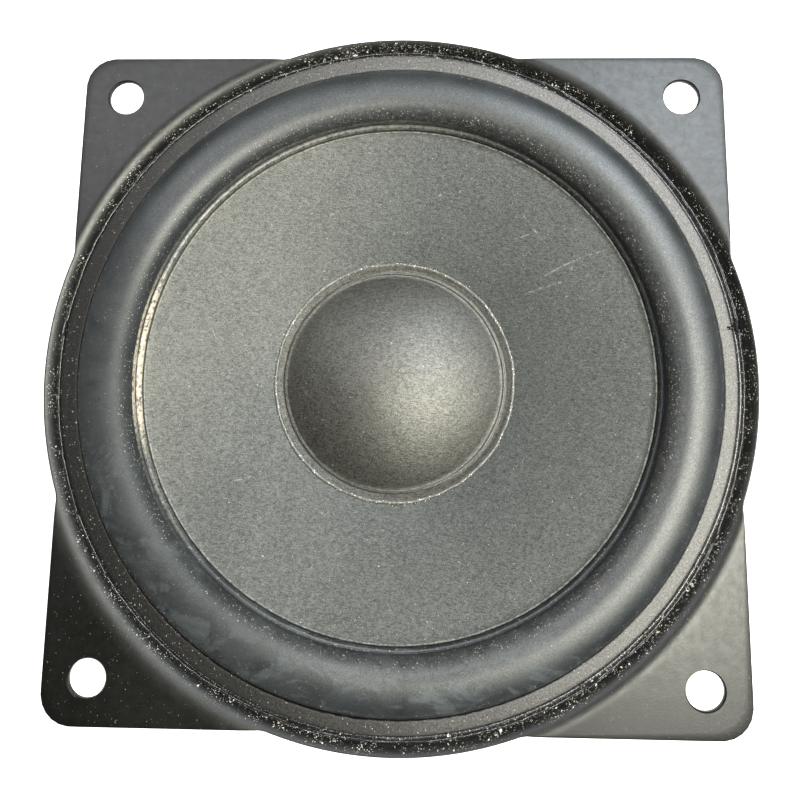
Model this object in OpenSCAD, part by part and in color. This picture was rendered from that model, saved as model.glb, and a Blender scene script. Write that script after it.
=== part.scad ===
// Moving-coil loudspeaker driver with a square stamped flange.
// The origin is on the axis, in the plane of the flange's front face. +Z points to the front.

/* [Flange] */
// Side of the square flange
flange_side = 130; // [128:0.5:132]
// Radius of the flange's four corners
flange_corner = 6; // [3:0.5:9]
// Diameter of the round rim that passes the middle of each side
rim_diameter = 138.4; // [137:0.2:139]
// Distance between neighbouring mounting holes
hole_spacing = 113; // [111:0.5:114]
// Diameter of the mounting holes
hole_diameter = 7; // [4:0.5:8]
// Thickness of the steel sheet
sheet = 1.2; // [1:0.1:1.4]

/* [Basket] */
// Depth of the seat that holds the surround and gasket
seat_depth = 3.2; // [3:0.1:3.6]
// Depth of the ledge that holds the spider
ledge_depth = 21; // [20:0.5:22]
// Depth of the basket's floor, which stands on the top plate
floor_depth = 34; // [33.5:0.5:35]
// Width of the four spokes between the windows
spoke_width = 14; // [10:1:18]
// Diameter of the round vents below the ledge
vent_hole_diameter = 3.5; // [2.5:0.1:3.8]

/* [Surround and gasket] */
// Middle radius of the rubber roll
roll_radius = 57.2; // [57:0.1:57.4]
// Half of the roll's width
roll_half_width = 5.5; // [5.2:0.1:5.6]
// Height of the roll over the seat
roll_height = 4.6; // [3:0.1:5.5]
// Thickness of the rubber
rubber = 0.5; // [0.4:0.05:0.6]
// Inner radius of the gasket
gasket_inner = 62.8; // [62.8:0.1:63]
// Outer radius of the gasket
gasket_outer = 65.7; // [65.4:0.1:65.8]
// Thickness of the gasket
gasket_height = 1.9; // [1:0.1:2.5]

/* [Cone and dust cap] */
// Radius of the visible edge of the cone, where the surround's lip ends
cone_radius = 51; // [50.5:0.1:51.3]
// Depth of the cone at that edge
cone_edge_depth = 3.9; // [3.8:0.1:4.2]
// Slope of the cone, in degrees from flat
cone_slope = 13.3; // [12:0.1:14]
// Thickness of the paper
paper = 0.6; // [0.5:0.05:0.7]
// Outer radius of the dust cap's flange
cap_flange_radius = 24.3; // [24:0.1:26]
// Radius of the dome
cap_dome_radius = 22.5; // [21:0.1:23]
// Height of the dome
cap_dome_height = 6; // [4:0.1:7]

/* [Voice coil and spider] */
// Inner radius of the voice coil's former
former_inner = 16; // [15.9:0.05:16.1]
// Thickness of the former
former_wall = 0.25; // [0.2:0.05:0.3]
// Height of the winding
winding_height = 12; // [8:0.5:13]
// Thickness of the winding
winding_wall = 0.7; // [0.5:0.05:0.8]
// Thickness of the spider's cloth
cloth = 0.4; // [0.3:0.05:0.5]
// Half of the depth of the spider's waves
wave_height = 1.3; // [0.8:0.1:1.5]
// Number of the spider's waves
wave_count = 5; // [3:1:6]

/* [Motor] */
// Diameter of the top plate and back plate
plate_diameter = 80; // [78:1:84]
// Thickness of the top plate
top_plate_height = 5.5; // [5:0.5:6]
// Diameter of the magnet
magnet_diameter = 84; // [84:1:90]
// Diameter of the hole in the magnet
magnet_bore = 46; // [44:1:48]
// Thickness of the magnet
magnet_height = 14; // [13:1:18]
// Thickness of the back plate
back_plate_height = 5; // [4:0.5:6]
// Diameter of the pole
pole_diameter = 31; // [30.8:0.1:31.2]
// Diameter of the hole in the top plate
gap_diameter = 34.8; // [34.7:0.1:35]
// Diameter of the vent through the pole
vent_diameter = 10; // [6:1:12]

/* [Terminals and leads] */
// Width of the terminal board
board_width = 30; // [28:1:32]
// Width of the positive blade
positive_width = 4.8; // [4.8, 6.3]
// Width of the negative blade
negative_width = 2.8; // [2.8, 4.8]
// Thickness of the blades
blade = 0.8; // [0.5:0.1:0.8]
// Diameter of the tinsel leads
lead_diameter = 1.6; // [1:0.1:1.8]

/* [Hidden] */

$fn = 96;
arc_steps = 10;
far = 95;
cut = 1;

// Heights of the motor, all counted from the flange's face
floor_top = -floor_depth + sheet;
top_plate_top = -floor_depth;
magnet_top = top_plate_top - top_plate_height;
back_plate_top = magnet_top - magnet_height;
motor_bottom = back_plate_top - back_plate_height;
pole_top = top_plate_top + 1;
pole_foot_radius = pole_diameter / 2 - 2.5;

// Basket: corners of the sheet's front face, from the flange inwards, each [radius, height, rounding]
recess_wall_top = 68.6;
recess_wall_foot = 66.6;
wall_top = 60.5;
wall_foot = 41.5;
ledge_inner = 37;
floor_radius = 36;
floor_hole = 18.5;
basket_corners = [
    [far, 0, 0],
    [recess_wall_top, 0, 4],
    [recess_wall_foot, -seat_depth, 0.8],
    [wall_top, -seat_depth, 2],
    [wall_foot, -ledge_depth, 1.5],
    [ledge_inner, -ledge_depth, 2],
    [floor_radius, floor_top, 1.5],
    [floor_hole, floor_top, 0]
];
window_top = -8;
window_bottom = -ledge_depth + 2;
window_rounding = 3;
vent_hole_z = (floor_top - ledge_depth - sheet) / 2;
vent_hole_angles = [for (side = [0:90:270]) for (turn = [-20, 20]) side + turn];

// Surround and gasket
seat = -seat_depth;
flange_top = seat + rubber;
lip_outer = cone_radius + 1.2;

// Cone
cone_rise = tan(cone_slope);
cone_outer = lip_outer;
cone_inner = former_inner + former_wall + 0.05;
paper_drop = paper / cos(cone_slope);

// Voice coil
former_outer = former_inner + former_wall;
former_top = cone_z(former_outer);
winding_top = top_plate_top - top_plate_height / 2 + winding_height / 2;
winding_bottom = winding_top - winding_height;
former_bottom = winding_bottom - 0.8;
coil_wire = 0.3;
collar_inner = former_outer + coil_wire + 0.05;
collar_outer = collar_inner + 0.25;
collar_top = former_top - 2.8;
collar_bottom = winding_top + 2.2;

// Spider
spider_z = -ledge_depth;
spider_outer = wall_foot - 1;
spider_wave_outer = ledge_inner - 0.5;
spider_wave_inner = collar_outer + 2.4;
spider_neck = collar_outer + 0.1;
wave_steps = 12;

// Terminals: the tab leaves the window's lower edge, turns down and carries the board
tab_width = 16;
tab_start = 43.2;
tab_face = 48.2;
tab_bottom = -32;
board_thickness = 1.2;
board_face = tab_face + board_thickness;
board_top = -19.5;
board_bottom = -31.5;
blade_x = 11;
blade_face = board_face + blade;
blade_top = -17.8;
blade_shoulder = -21.5;
blade_bottom = -38;
blade_foot_half = 2.6;
solder_tab_width = 3.2;
rivet_z = -26;
board_rivet_x = 4.5;
rivet_radius = 1.2;
rivet_head_radius = 2.1;
rivet_head = 0.7;
stake_radius = 27;
stake_shank = 2;
stake_head_radius = 3.2;
stake_head = 1;

// Tinsel leads: the route's points from the solder to the former, for the positive side
anchor_z = -16.6;
anchor_x = 5;
anchor_y = -sqrt(collar_outer * collar_outer - anchor_x * anchor_x);
anchor_radius = 1.6;
anchor_height = 2.6;
solder_top = blade_top + 0.5;
lead_route = [
    [blade_x, -(board_face + blade / 2), solder_top],
    [blade_x, -(board_face + blade / 2), -16.3],
    [blade_x, -(board_face + blade / 2), -15.2],
    [10.8, -48.4, -12.8],
    [10.2, -45, -11.9],
    [9.4, -40, -12.6],
    [8.6, -35, -14.2],
    [7.8, -30, -16],
    [7, -25, -17.3],
    [6.1, -21, -17.2],
    [5.4, -18, -16.7]
];
lead_sides = 8;
lead_rings_per_span = 3;

// ---- Functions ----

// A unit vector along v
function unit(v) = v / norm(v);

// The direction to the left of v
function left(v) = [-v[1], v[0]];

// Height of the cone's front face at a radius
function cone_z(r) = -cone_edge_depth - (cone_radius - r) * cone_rise;

// Points of an arc that replaces the corner at p, between a and b
function corner_arc(a, p, b, radius) =
    let (
        u = unit(a - p),
        v = unit(b - p),
        half = acos(max(-1, min(1, u * v))) / 2,
        centre = p + unit(u + v) * radius / sin(half),
        start = p + u * radius / tan(half) - centre,
        end = p + v * radius / tan(half) - centre,
        first = atan2(start[1], start[0]),
        turn = atan2(end[1], end[0]) - first,
        sweep = turn > 180 ? turn - 360 : turn < -180 ? turn + 360 : turn
    )
    [
        for (i = [0:arc_steps])
            let (angle = first + sweep * i / arc_steps)
            centre + radius * [cos(angle), sin(angle)]
    ];

function flat(p) = [p[0], p[1]];

// An open path with its inner corners rounded, from corners [x, y, rounding]
function rounded_path(corners) = [
    for (i = [0:len(corners) - 1])
        let (
            last = len(corners) - 1,
            p = flat(corners[i]),
            radius = corners[i][2]
        )
        each (i == 0 || i == last || radius == 0)
            ? [p]
            : corner_arc(flat(corners[i - 1]), p, flat(corners[i + 1]), radius)
];

// A closed outline with rounded corners, from corners [x, y, rounding]
function rounded_loop(corners) = [
    for (i = [0:len(corners) - 1])
        let (count = len(corners))
        each corner_arc(
            flat(corners[(i + count - 1) % count]),
            flat(corners[i]),
            flat(corners[(i + 1) % count]),
            corners[i][2]
        )
];

// The path moved to its left by a thickness
function beside(path, thickness) = [
    for (i = [0:len(path) - 1])
        let (
            last = len(path) - 1,
            before = i == 0 ? path[1] - path[0] : path[i] - path[i - 1],
            after = i == last ? path[last] - path[last - 1] : path[i + 1] - path[i],
            n1 = left(unit(before)),
            n2 = left(unit(after))
        )
        path[i] + (n1 + n2) / (1 + n1 * n2) * thickness
];

function reversed(list) = [for (i = [len(list) - 1:-1:0]) list[i]];

// The outline of a sheet whose front face follows the path
function sheet_outline(path, thickness) = concat(path, reversed(beside(path, thickness)));

// One point on a smooth curve through a route, at t from 0 to 1 between points i and i + 1
function smooth_point(route, i, t) =
    let (
        last = len(route) - 1,
        p1 = route[i],
        p2 = route[i + 1],
        p0 = i == 0 ? 2 * p1 - p2 : route[i - 1],
        p3 = i + 2 > last ? 2 * p2 - p1 : route[i + 2]
    )
    0.5 * (2 * p1 + (p2 - p0) * t + (2 * p0 - 5 * p1 + 4 * p2 - p3) * t * t
        + (3 * p1 - p0 - 3 * p2 + p3) * t * t * t);

// The smooth curve through a route
function smooth_route(route, steps) = concat(
    [
        for (i = [0:len(route) - 2])
            for (s = [0:steps - 1])
                smooth_point(route, i, s / steps)
    ],
    [route[len(route) - 1]]
);

// ---- Building blocks ----

// A body of revolution of a sheet of even thickness
module spun_sheet(path, thickness) {
    rotate_extrude()
        polygon(sheet_outline(path, thickness));
}

// A flat ring, from its lowest height up
module ring(inner, outer, bottom, height) {
    translate([0, 0, bottom])
        rotate_extrude()
            translate([inner, 0])
                square([outer - inner, height]);
}

// The flange's outline: a square with round corners and a round rim past its sides
module flange_outline() {
    half = flange_side / 2;
    polygon(rounded_loop([
        [half, half, flange_corner],
        [-half, half, flange_corner],
        [-half, -half, flange_corner],
        [half, -half, flange_corner]
    ]));
    circle(d = rim_diameter);
}

// A prism along +X that cuts one window between two spokes
module window_cutter() {
    depth_share = (recess_wall_top - wall_foot) / (ledge_depth - seat_depth);
    top_half = window_half(wall_top - (-seat_depth - window_top) * depth_share);
    bottom_half = window_half(wall_foot + (window_bottom + ledge_depth) * depth_share);
    translate([20, 0, 0])
        rotate([90, 0, 90])
            linear_extrude(60)
                polygon(rounded_loop([
                    [-top_half, window_top, window_rounding],
                    [-bottom_half, window_bottom, window_rounding],
                    [bottom_half, window_bottom, window_rounding],
                    [top_half, window_top, window_rounding]
                ]));
}

// Half of a window's width where the wall has this radius
function window_half(r) = r * sin(45 - asin(spoke_width / 2 / r));

// The tab that carries the terminal board, on the -Y side
module board_tab() {
    translate([-tab_width / 2, 0, 0])
        rotate([90, 0, 90])
            linear_extrude(tab_width)
                polygon(sheet_outline(rounded_path([
                    [-tab_start, window_bottom, 0],
                    [-tab_face, window_bottom, 2],
                    [-tab_face, tab_bottom, 0]
                ]), sheet));
}

// A round rod along Y, from the outer face inwards
module rod_along_y(x, z, radius, outer, inner) {
    translate([x, -outer, z])
        rotate([-90, 0, 0])
            cylinder(r = radius, h = outer - inner);
}

// A rivet along Y, with a head on each side of what it holds
module rivet_along_y(x, outer, inner) {
    rod_along_y(x, rivet_z, rivet_radius, outer, inner);
    rod_along_y(x, rivet_z, rivet_head_radius, outer + rivet_head, outer);
    rod_along_y(x, rivet_z, rivet_head_radius, inner, inner - rivet_head);
}

// A round tube swept along a route
module swept_tube(route, diameter) {
    points = smooth_route(route, lead_rings_per_span);
    last = len(points) - 1;
    rings = [
        for (i = [0:last])
            let (
                along = unit(i == 0 ? points[1] - points[0]
                    : i == last ? points[last] - points[last - 1]
                    : points[i + 1] - points[i - 1]),
                side = unit(cross(along, [1, 0, 0])),
                up = cross(side, along)
            )
            for (s = [0:lead_sides - 1])
                points[i] + diameter / 2
                    * (side * cos(360 * s / lead_sides) + up * sin(360 * s / lead_sides))
    ];
    walls = [
        for (i = [0:last - 1])
            for (s = [0:lead_sides - 1])
                let (
                    a = i * lead_sides + s,
                    b = i * lead_sides + (s + 1) % lead_sides
                )
                each [[a, b, b + lead_sides], [a, b + lead_sides, a + lead_sides]]
    ];
    start_cap = [[for (s = [lead_sides - 1:-1:0]) s]];
    end_cap = [[for (s = [0:lead_sides - 1]) last * lead_sides + s]];
    polyhedron(rings, concat(walls, start_cap, end_cap));
}

// The same thing on the other side of the YZ plane
module on_side(sign) {
    if (sign > 0) children();
    else mirror([1, 0, 0]) children();
}

// ---- Pieces ----

module basket() {
    color("#2b2d2f")
        difference() {
            union() {
                intersection() {
                    spun_sheet(rounded_path(basket_corners), sheet);
                    translate([0, 0, -floor_depth - cut])
                        linear_extrude(floor_depth + 2 * cut)
                            flange_outline();
                }
                board_tab();
            }
            for (x = [-1, 1])
                for (y = [-1, 1])
                    translate([x * hole_spacing / 2, y * hole_spacing / 2, -sheet - cut])
                        cylinder(d = hole_diameter, h = sheet + 2 * cut);
            for (turn = [0:90:270])
                rotate([0, 0, turn])
                    window_cutter();
            for (turn = vent_hole_angles)
                rotate([0, 90, turn])
                    translate([-vent_hole_z, 0, 30])
                        cylinder(d = vent_hole_diameter, h = 10);
            for (turn = [0:90:270])
                rotate([0, 0, turn])
                    translate([stake_radius, 0, -floor_depth - cut])
                        cylinder(r = stake_shank, h = sheet + 2 * cut);
            for (x = [-board_rivet_x, board_rivet_x])
                rod_along_y(x, rivet_z, rivet_radius, tab_face + cut, tab_face - sheet - cut);
        }
}

module gasket_ring() {
    color("#5e5f5c")
        ring(gasket_inner, gasket_outer, flange_top, gasket_height);
}

module gasket_glue() {
    color("#101011")
        rotate_extrude()
            polygon([
                [gasket_outer, flange_top],
                [recess_wall_foot - 0.5, flange_top],
                [gasket_outer + 0.25, flange_top + 0.5],
                [gasket_outer, flange_top + 0.9]
            ]);
}

module surround() {
    roll = [
        for (angle = [0:9:180])
            [roll_radius + roll_half_width * cos(angle), flange_top + roll_height * sin(angle)]
    ];
    path = concat(
        [[recess_wall_foot - 0.7, flange_top]],
        roll,
        [
            [roll_radius - roll_half_width, cone_z(lip_outer) + rubber],
            [cone_radius, cone_z(cone_radius) + rubber]
        ]
    );
    color("#26292c")
        spun_sheet(path, rubber);
}

module cone() {
    color("#4b4f4b")
        rotate_extrude()
            polygon([
                [cone_outer, cone_z(cone_outer)],
                [cone_inner, cone_z(cone_inner)],
                [cone_inner, cone_z(cone_inner) - paper_drop],
                [cone_outer, cone_z(cone_outer) - paper_drop]
            ]);
}

module dust_cap() {
    rim = cone_z(cap_dome_radius);
    dome_radius = (cap_dome_radius * cap_dome_radius + cap_dome_height * cap_dome_height)
        / (2 * cap_dome_height);
    half_angle = asin(cap_dome_radius / dome_radius);
    outer_dome = dome_arc(dome_radius, half_angle, rim + cap_dome_height - dome_radius);
    inner_dome = dome_arc(dome_radius - paper, half_angle, rim + cap_dome_height - dome_radius);
    color("#4d504d")
        rotate_extrude()
            polygon(concat(
                [
                    [cap_flange_radius, cone_z(cap_flange_radius)],
                    [cap_flange_radius, cone_z(cap_flange_radius) + paper],
                    [cap_dome_radius + 0.2, cone_z(cap_dome_radius) + paper]
                ],
                outer_dome,
                reversed(inner_dome),
                [[cap_dome_radius - 1, cone_z(cap_dome_radius - 1)]]
            ));
}

// Points of a dome from its rim up to the axis
function dome_arc(radius, half_angle, centre_z) = [
    for (i = [1:16])
        let (angle = half_angle * (1 - i / 16))
        [radius * sin(angle), centre_z + radius * cos(angle)]
];

module dust_cap_glue() {
    inner = cap_flange_radius;
    color("#77746a")
        rotate_extrude()
            polygon([
                [inner, cone_z(inner)],
                [inner + 1, cone_z(inner + 1)],
                [inner + 0.7, cone_z(inner + 0.7) + 0.5],
                [inner, cone_z(inner) + 0.8]
            ]);
}

module voice_coil_former() {
    color("#b98d4a")
        ring(former_inner, former_outer, former_bottom, former_top - former_bottom);
}

module voice_coil_winding() {
    color("#b3642c")
        ring(former_outer, former_outer + winding_wall, winding_bottom, winding_height);
}

module former_collar() {
    color("#a9814f")
        ring(collar_inner, collar_outer, collar_bottom, collar_top - collar_bottom);
}

// A flat wire that runs up the former under the collar
module coil_lead(sign) {
    color("#b3642c")
        on_side(sign)
            rotate([0, 0, atan2(anchor_y, anchor_x)])
                translate([former_outer + 0.01, -coil_wire, winding_top])
                    cube([coil_wire, 2 * coil_wire, collar_top - winding_top]);
}

module cone_neck_glue() {
    inner = former_outer;
    outer = inner + 2.6;
    color("#1d1b19")
        rotate_extrude()
            polygon([
                [inner, cone_z(cone_inner) - paper_drop],
                [cone_inner, cone_z(cone_inner) - paper_drop],
                [outer, cone_z(outer) - paper_drop],
                [inner + 0.7, collar_top + 0.5],
                [inner, collar_top + 0.1]
            ]);
}

module spider() {
    span = spider_wave_outer - spider_wave_inner;
    waves = [
        for (i = [0:wave_count * wave_steps])
            let (share = i / (wave_count * wave_steps))
            [
                spider_wave_outer - span * share,
                spider_z + cloth + wave_height * sin(360 * wave_count * share)
            ]
    ];
    path = concat(
        [[spider_outer, spider_z + cloth]],
        waves,
        [
            [spider_neck + 0.9, spider_z + cloth],
            [spider_neck + cloth, spider_z + cloth + 0.5],
            [spider_neck + cloth, spider_z + cloth + 1.6]
        ]
    );
    color("#b08a3c")
        spun_sheet(path, cloth);
}

module spider_neck_glue() {
    outer = spider_neck + cloth;
    base = spider_z + cloth + 1.6;
    color("#1d1b19")
        rotate_extrude()
            polygon([
                [collar_outer, base],
                [outer + 0.1, base],
                [collar_outer, base + 0.7]
            ]);
}

module top_plate() {
    color("#8d9196")
        difference() {
            ring(gap_diameter / 2, plate_diameter / 2, magnet_top, top_plate_height);
            for (turn = [0:90:270])
                rotate([0, 0, turn])
                    translate([stake_radius, 0, magnet_top - cut])
                        cylinder(r = stake_shank, h = top_plate_height + 2 * cut);
        }
}

module magnet() {
    chamfer = 1;
    color("#35373a")
        rotate_extrude()
            polygon([
                [magnet_bore / 2, back_plate_top],
                [magnet_diameter / 2 - chamfer, back_plate_top],
                [magnet_diameter / 2, back_plate_top + chamfer],
                [magnet_diameter / 2, magnet_top - chamfer],
                [magnet_diameter / 2 - chamfer, magnet_top],
                [magnet_bore / 2, magnet_top]
            ]);
}

module back_plate() {
    chamfer = 1.2;
    color("#8d9196")
        rotate_extrude()
            polygon([
                [pole_foot_radius, motor_bottom],
                [plate_diameter / 2 - chamfer, motor_bottom],
                [plate_diameter / 2, motor_bottom + chamfer],
                [plate_diameter / 2, back_plate_top],
                [pole_foot_radius, back_plate_top]
            ]);
}

module pole_piece() {
    chamfer = 0.8;
    flare = 2;
    color("#9a9ea3")
        rotate_extrude()
            polygon([
                [vent_diameter / 2 + flare, motor_bottom],
                [pole_foot_radius, motor_bottom],
                [pole_foot_radius, back_plate_top],
                [pole_diameter / 2, back_plate_top],
                [pole_diameter / 2, pole_top - chamfer],
                [pole_diameter / 2 - chamfer, pole_top],
                [vent_diameter / 2, pole_top],
                [vent_diameter / 2, motor_bottom + flare]
            ]);
}

module vent_screen() {
    color("#3a3a3a")
        translate([0, 0, motor_bottom + 2.4])
            cylinder(d = vent_diameter, h = 0.5);
}

module top_plate_rivets() {
    color("#a5a8ab")
        for (turn = [0:90:270])
            rotate([0, 0, turn])
                translate([stake_radius, 0, magnet_top]) {
                    cylinder(r = stake_shank, h = floor_top - magnet_top);
                    translate([0, 0, floor_top - magnet_top])
                        cylinder(r = stake_head_radius, h = stake_head);
                }
}

module terminal_board() {
    color("#3c2a1c")
        difference() {
            translate([-board_width / 2, -board_face, board_bottom])
                cube([board_width, board_thickness, board_top - board_bottom]);
            for (x = [-blade_x, -board_rivet_x, board_rivet_x, blade_x])
                rod_along_y(x, rivet_z, rivet_radius, board_face + cut, tab_face - cut);
        }
}

module board_rivets() {
    color("#a5a8ab")
        for (x = [-board_rivet_x, board_rivet_x])
            rivet_along_y(x, board_face, tab_face - sheet);
}

// A blade with its solder tab on top, on the outer face of the board
module terminal(width) {
    half = width / 2;
    solder_half = solder_tab_width / 2;
    tip = 1;
    color("#b9bcbe")
        difference() {
            translate([blade_x, -board_face, 0])
                rotate([90, 0, 0])
                    linear_extrude(blade)
                        polygon([
                            [-half + tip / 2, blade_bottom],
                            [half - tip / 2, blade_bottom],
                            [half, blade_bottom + tip],
                            [half, board_bottom],
                            [blade_foot_half, board_bottom + 1.5],
                            [blade_foot_half, blade_shoulder],
                            [solder_half, blade_shoulder + 1],
                            [solder_half, blade_top],
                            [-solder_half, blade_top],
                            [-solder_half, blade_shoulder + 1],
                            [-blade_foot_half, blade_shoulder],
                            [-blade_foot_half, board_bottom + 1.5],
                            [-half, board_bottom],
                            [-half, blade_bottom + tip]
                        ]);
            rod_along_y(blade_x, rivet_z, rivet_radius, blade_face + cut, board_face - cut);
        }
}

module terminal_positive() {
    terminal(positive_width);
}

module terminal_negative() {
    mirror([1, 0, 0])
        terminal(negative_width);
}

module terminal_rivets() {
    color("#b9bcbe")
        for (x = [-blade_x, blade_x])
            rivet_along_y(x, blade_face, tab_face);
}

// A drop of solder on the upper end of a blade
module solder(sign) {
    color("#c4c7c9")
        on_side(sign)
            translate([blade_x, -(board_face + blade / 2), blade_top])
                cylinder(r = 1.3, h = solder_top - blade_top);
}

module tinsel_lead(sign) {
    color("#8a5a38")
        on_side(sign)
            swept_tube(lead_route, lead_diameter);
}

// A drop of adhesive round the inner end of a lead
module lead_anchor(sign) {
    color("#1d1b19")
        on_side(sign)
            difference() {
                rotate([0, 0, atan2(anchor_y, anchor_x)])
                    translate([collar_outer - 0.4, 0, anchor_z])
                        rotate([0, 90, 0])
                            cylinder(r1 = anchor_radius, r2 = anchor_radius - 0.6, h = anchor_height);
                translate([0, 0, anchor_z - 2 * anchor_radius])
                    cylinder(r = collar_outer, h = 4 * anchor_radius);
            }
}

basket();
gasket_ring();
gasket_glue();
surround();
cone();
dust_cap();
dust_cap_glue();
voice_coil_former();
voice_coil_winding();
former_collar();
coil_lead(1);  // coil_lead_positive
coil_lead(-1);  // coil_lead_negative
cone_neck_glue();
spider();
spider_neck_glue();
top_plate();
magnet();
back_plate();
pole_piece();
vent_screen();
top_plate_rivets();
terminal_board();
board_rivets();
terminal_positive();
terminal_negative();
terminal_rivets();
solder(1);  // solder_positive
solder(-1);  // solder_negative
tinsel_lead(1);  // lead_positive
tinsel_lead(-1);  // lead_negative
lead_anchor(1);  // lead_anchor_positive
lead_anchor(-1);  // lead_anchor_negative
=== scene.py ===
"""Looks of a square-flanged loudspeaker driver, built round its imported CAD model.

Lengths are in millimetres in this file and become metres where a mesh is made.
The axis is Z, the flange's front face is at height 0 and the front looks up.
"""

import random
from math import (acos, asin, atan, atan2, ceil, cos, degrees, dist, exp, hypot, pi, radians, sin,
                  sqrt, tan, tau)

import bmesh
import bpy
import numpy as np
from mathutils import Euler, Matrix, Vector, noise


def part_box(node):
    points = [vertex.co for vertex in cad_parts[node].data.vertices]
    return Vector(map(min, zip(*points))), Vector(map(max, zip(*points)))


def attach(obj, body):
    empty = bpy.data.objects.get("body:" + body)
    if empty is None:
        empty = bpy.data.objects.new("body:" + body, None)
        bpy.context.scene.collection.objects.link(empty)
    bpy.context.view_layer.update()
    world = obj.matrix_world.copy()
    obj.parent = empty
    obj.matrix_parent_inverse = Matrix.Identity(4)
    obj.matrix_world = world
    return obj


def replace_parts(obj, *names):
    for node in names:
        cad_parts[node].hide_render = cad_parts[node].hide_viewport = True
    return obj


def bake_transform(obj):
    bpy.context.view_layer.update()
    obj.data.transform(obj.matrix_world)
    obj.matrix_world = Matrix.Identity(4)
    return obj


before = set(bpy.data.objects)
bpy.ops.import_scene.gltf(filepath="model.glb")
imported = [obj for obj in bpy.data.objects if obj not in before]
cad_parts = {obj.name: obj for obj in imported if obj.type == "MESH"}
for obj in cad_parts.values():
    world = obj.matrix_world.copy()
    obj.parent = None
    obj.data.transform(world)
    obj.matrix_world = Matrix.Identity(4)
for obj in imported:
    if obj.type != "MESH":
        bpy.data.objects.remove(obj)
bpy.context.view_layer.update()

MM = 0.001
SEGMENTS = 288


def box_mm(node):
    """The lowest and highest corners of a CAD node, in millimetres."""
    low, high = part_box(node)
    return low / MM, high / MM


# ---------------------------------------------------------------- dimensions

RIM_RADIUS = 69.2
HALF_SIDE = 65.0
CORNER_RADIUS = 6.0
SHEET = 1.2
HOLE_HALF_SPACING = 56.5
HOLE_RADIUS = 3.5
SEAT = -3.2
LEDGE = -21.0
FLOOR_TOP = box_mm("basket")[0].z + SHEET
RUBBER = 0.5
PAPER = 0.6
CONE_RADIUS = 51.0
CONE_EDGE_Z = -3.9
CONE_RISE = tan(radians(13.3))
CAP_FLANGE_RADIUS = box_mm("dust_cap")[1].x
CAP_DOME_RADIUS = 22.5
CAP_DOME_HEIGHT = 6.0
GASKET_TOP = box_mm("gasket_ring")[1].z
GASKET_INNER = 62.8
GASKET_OUTER = 65.7
MOTOR_BOTTOM = box_mm("back_plate")[0].z
MAGNET_LOW, MAGNET_HIGH = box_mm("magnet")
PLATE_RADIUS = box_mm("top_plate")[1].x
POLE_RADIUS = 15.5
POLE_TOP = box_mm("pole_piece")[1].z
POLE_FOOT = 13.0
VENT_RADIUS = 5.0
COLLAR_OUTER = box_mm("former_collar")[1].x
WINDING_LOW, WINDING_HIGH = box_mm("voice_coil_winding")
BOARD_FACE = box_mm("terminal_board")[0].y


def cone_z(r):
    """Height of the cone's front face at a radius."""
    return CONE_EDGE_Z - (CONE_RADIUS - r) * CONE_RISE


# ---------------------------------------------------------------- camera

CAMERA_PLACE = (7.2, -10.9, 148.6)
CAMERA_TURN = (8.35, 1.555, 0.655)
CAMERA_LENS = 34.72
CAMERA_SHIFT = (-0.016, -0.101)


def make_camera():
    data = bpy.data.cameras.new("camera")
    data.lens = CAMERA_LENS
    data.sensor_width = 36
    data.shift_x, data.shift_y = CAMERA_SHIFT
    data.clip_start = 0.01
    camera = bpy.data.objects.new("camera", data)
    camera.location = Vector(CAMERA_PLACE) * MM
    camera.rotation_euler = Euler([radians(a) for a in CAMERA_TURN])
    bpy.context.scene.collection.objects.link(camera)
    bpy.context.scene.camera = camera


# ---------------------------------------------------------------- outlines


def corner_arc(a, p, b, radius, steps):
    """Points of the arc that rounds the corner p between a and b."""
    a, p, b = (np.array(v, float) for v in (a, p, b))
    u = (a - p) / np.linalg.norm(a - p)
    v = (b - p) / np.linalg.norm(b - p)
    half = acos(max(-1.0, min(1.0, float(u @ v)))) / 2
    middle = (u + v) / np.linalg.norm(u + v)
    centre = p + middle * radius / sin(half)
    start = p + u * radius / tan(half) - centre
    end = p + v * radius / tan(half) - centre
    first = atan2(start[1], start[0])
    sweep = atan2(end[1], end[0]) - first
    sweep = (sweep + pi) % tau - pi
    angles = [first + sweep * i / steps for i in range(steps + 1)]
    return [tuple(centre + radius * np.array((cos(t), sin(t)))) for t in angles]


def rounded(corners, closed=False, steps=6):
    """A path with its corners rounded. Each corner is (x, y, radius)."""
    points, count = [], len(corners)
    for i, (x, y, radius) in enumerate(corners):
        at_end = not closed and i in (0, count - 1)
        if radius == 0 or at_end:
            points.append((x, y))
            continue
        before, after = corners[i - 1][:2], corners[(i + 1) % count][:2]
        points += corner_arc(before, (x, y), after, radius, steps)
    return points


def beside(path, thickness):
    """The path moved to its left by a thickness."""
    path = [np.array(p, float) for p in path]
    moved = []
    for i, p in enumerate(path):
        before = p - path[i - 1] if i else path[1] - p
        after = path[i + 1] - p if i + 1 < len(path) else p - path[i - 1]
        n1 = np.array((-before[1], before[0])) / np.linalg.norm(before)
        n2 = np.array((-after[1], after[0])) / np.linalg.norm(after)
        moved.append(tuple(p + (n1 + n2) / (1 + n1 @ n2) * thickness))
    return moved


def densify(path, longest, closed=False):
    """The path with its long straight stretches cut up."""
    path = path + path[:1] if closed else path
    points = [path[0]]
    for a, b in zip(path, path[1:]):
        cuts = max(1, ceil(dist(a, b) / longest))
        points += [(a[0] + (b[0] - a[0]) * k / cuts, a[1] + (b[1] - a[1]) * k / cuts)
                   for k in range(1, cuts + 1)]
    return points[:-1] if closed else points


def clamp(value):
    return max(0.0, min(1.0, value))


def sheet_loop(path, thickness):
    """The closed outline of a sheet whose front face follows the path."""
    return list(path) + beside(path, thickness)[::-1]


# ---------------------------------------------------------------- meshes


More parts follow.
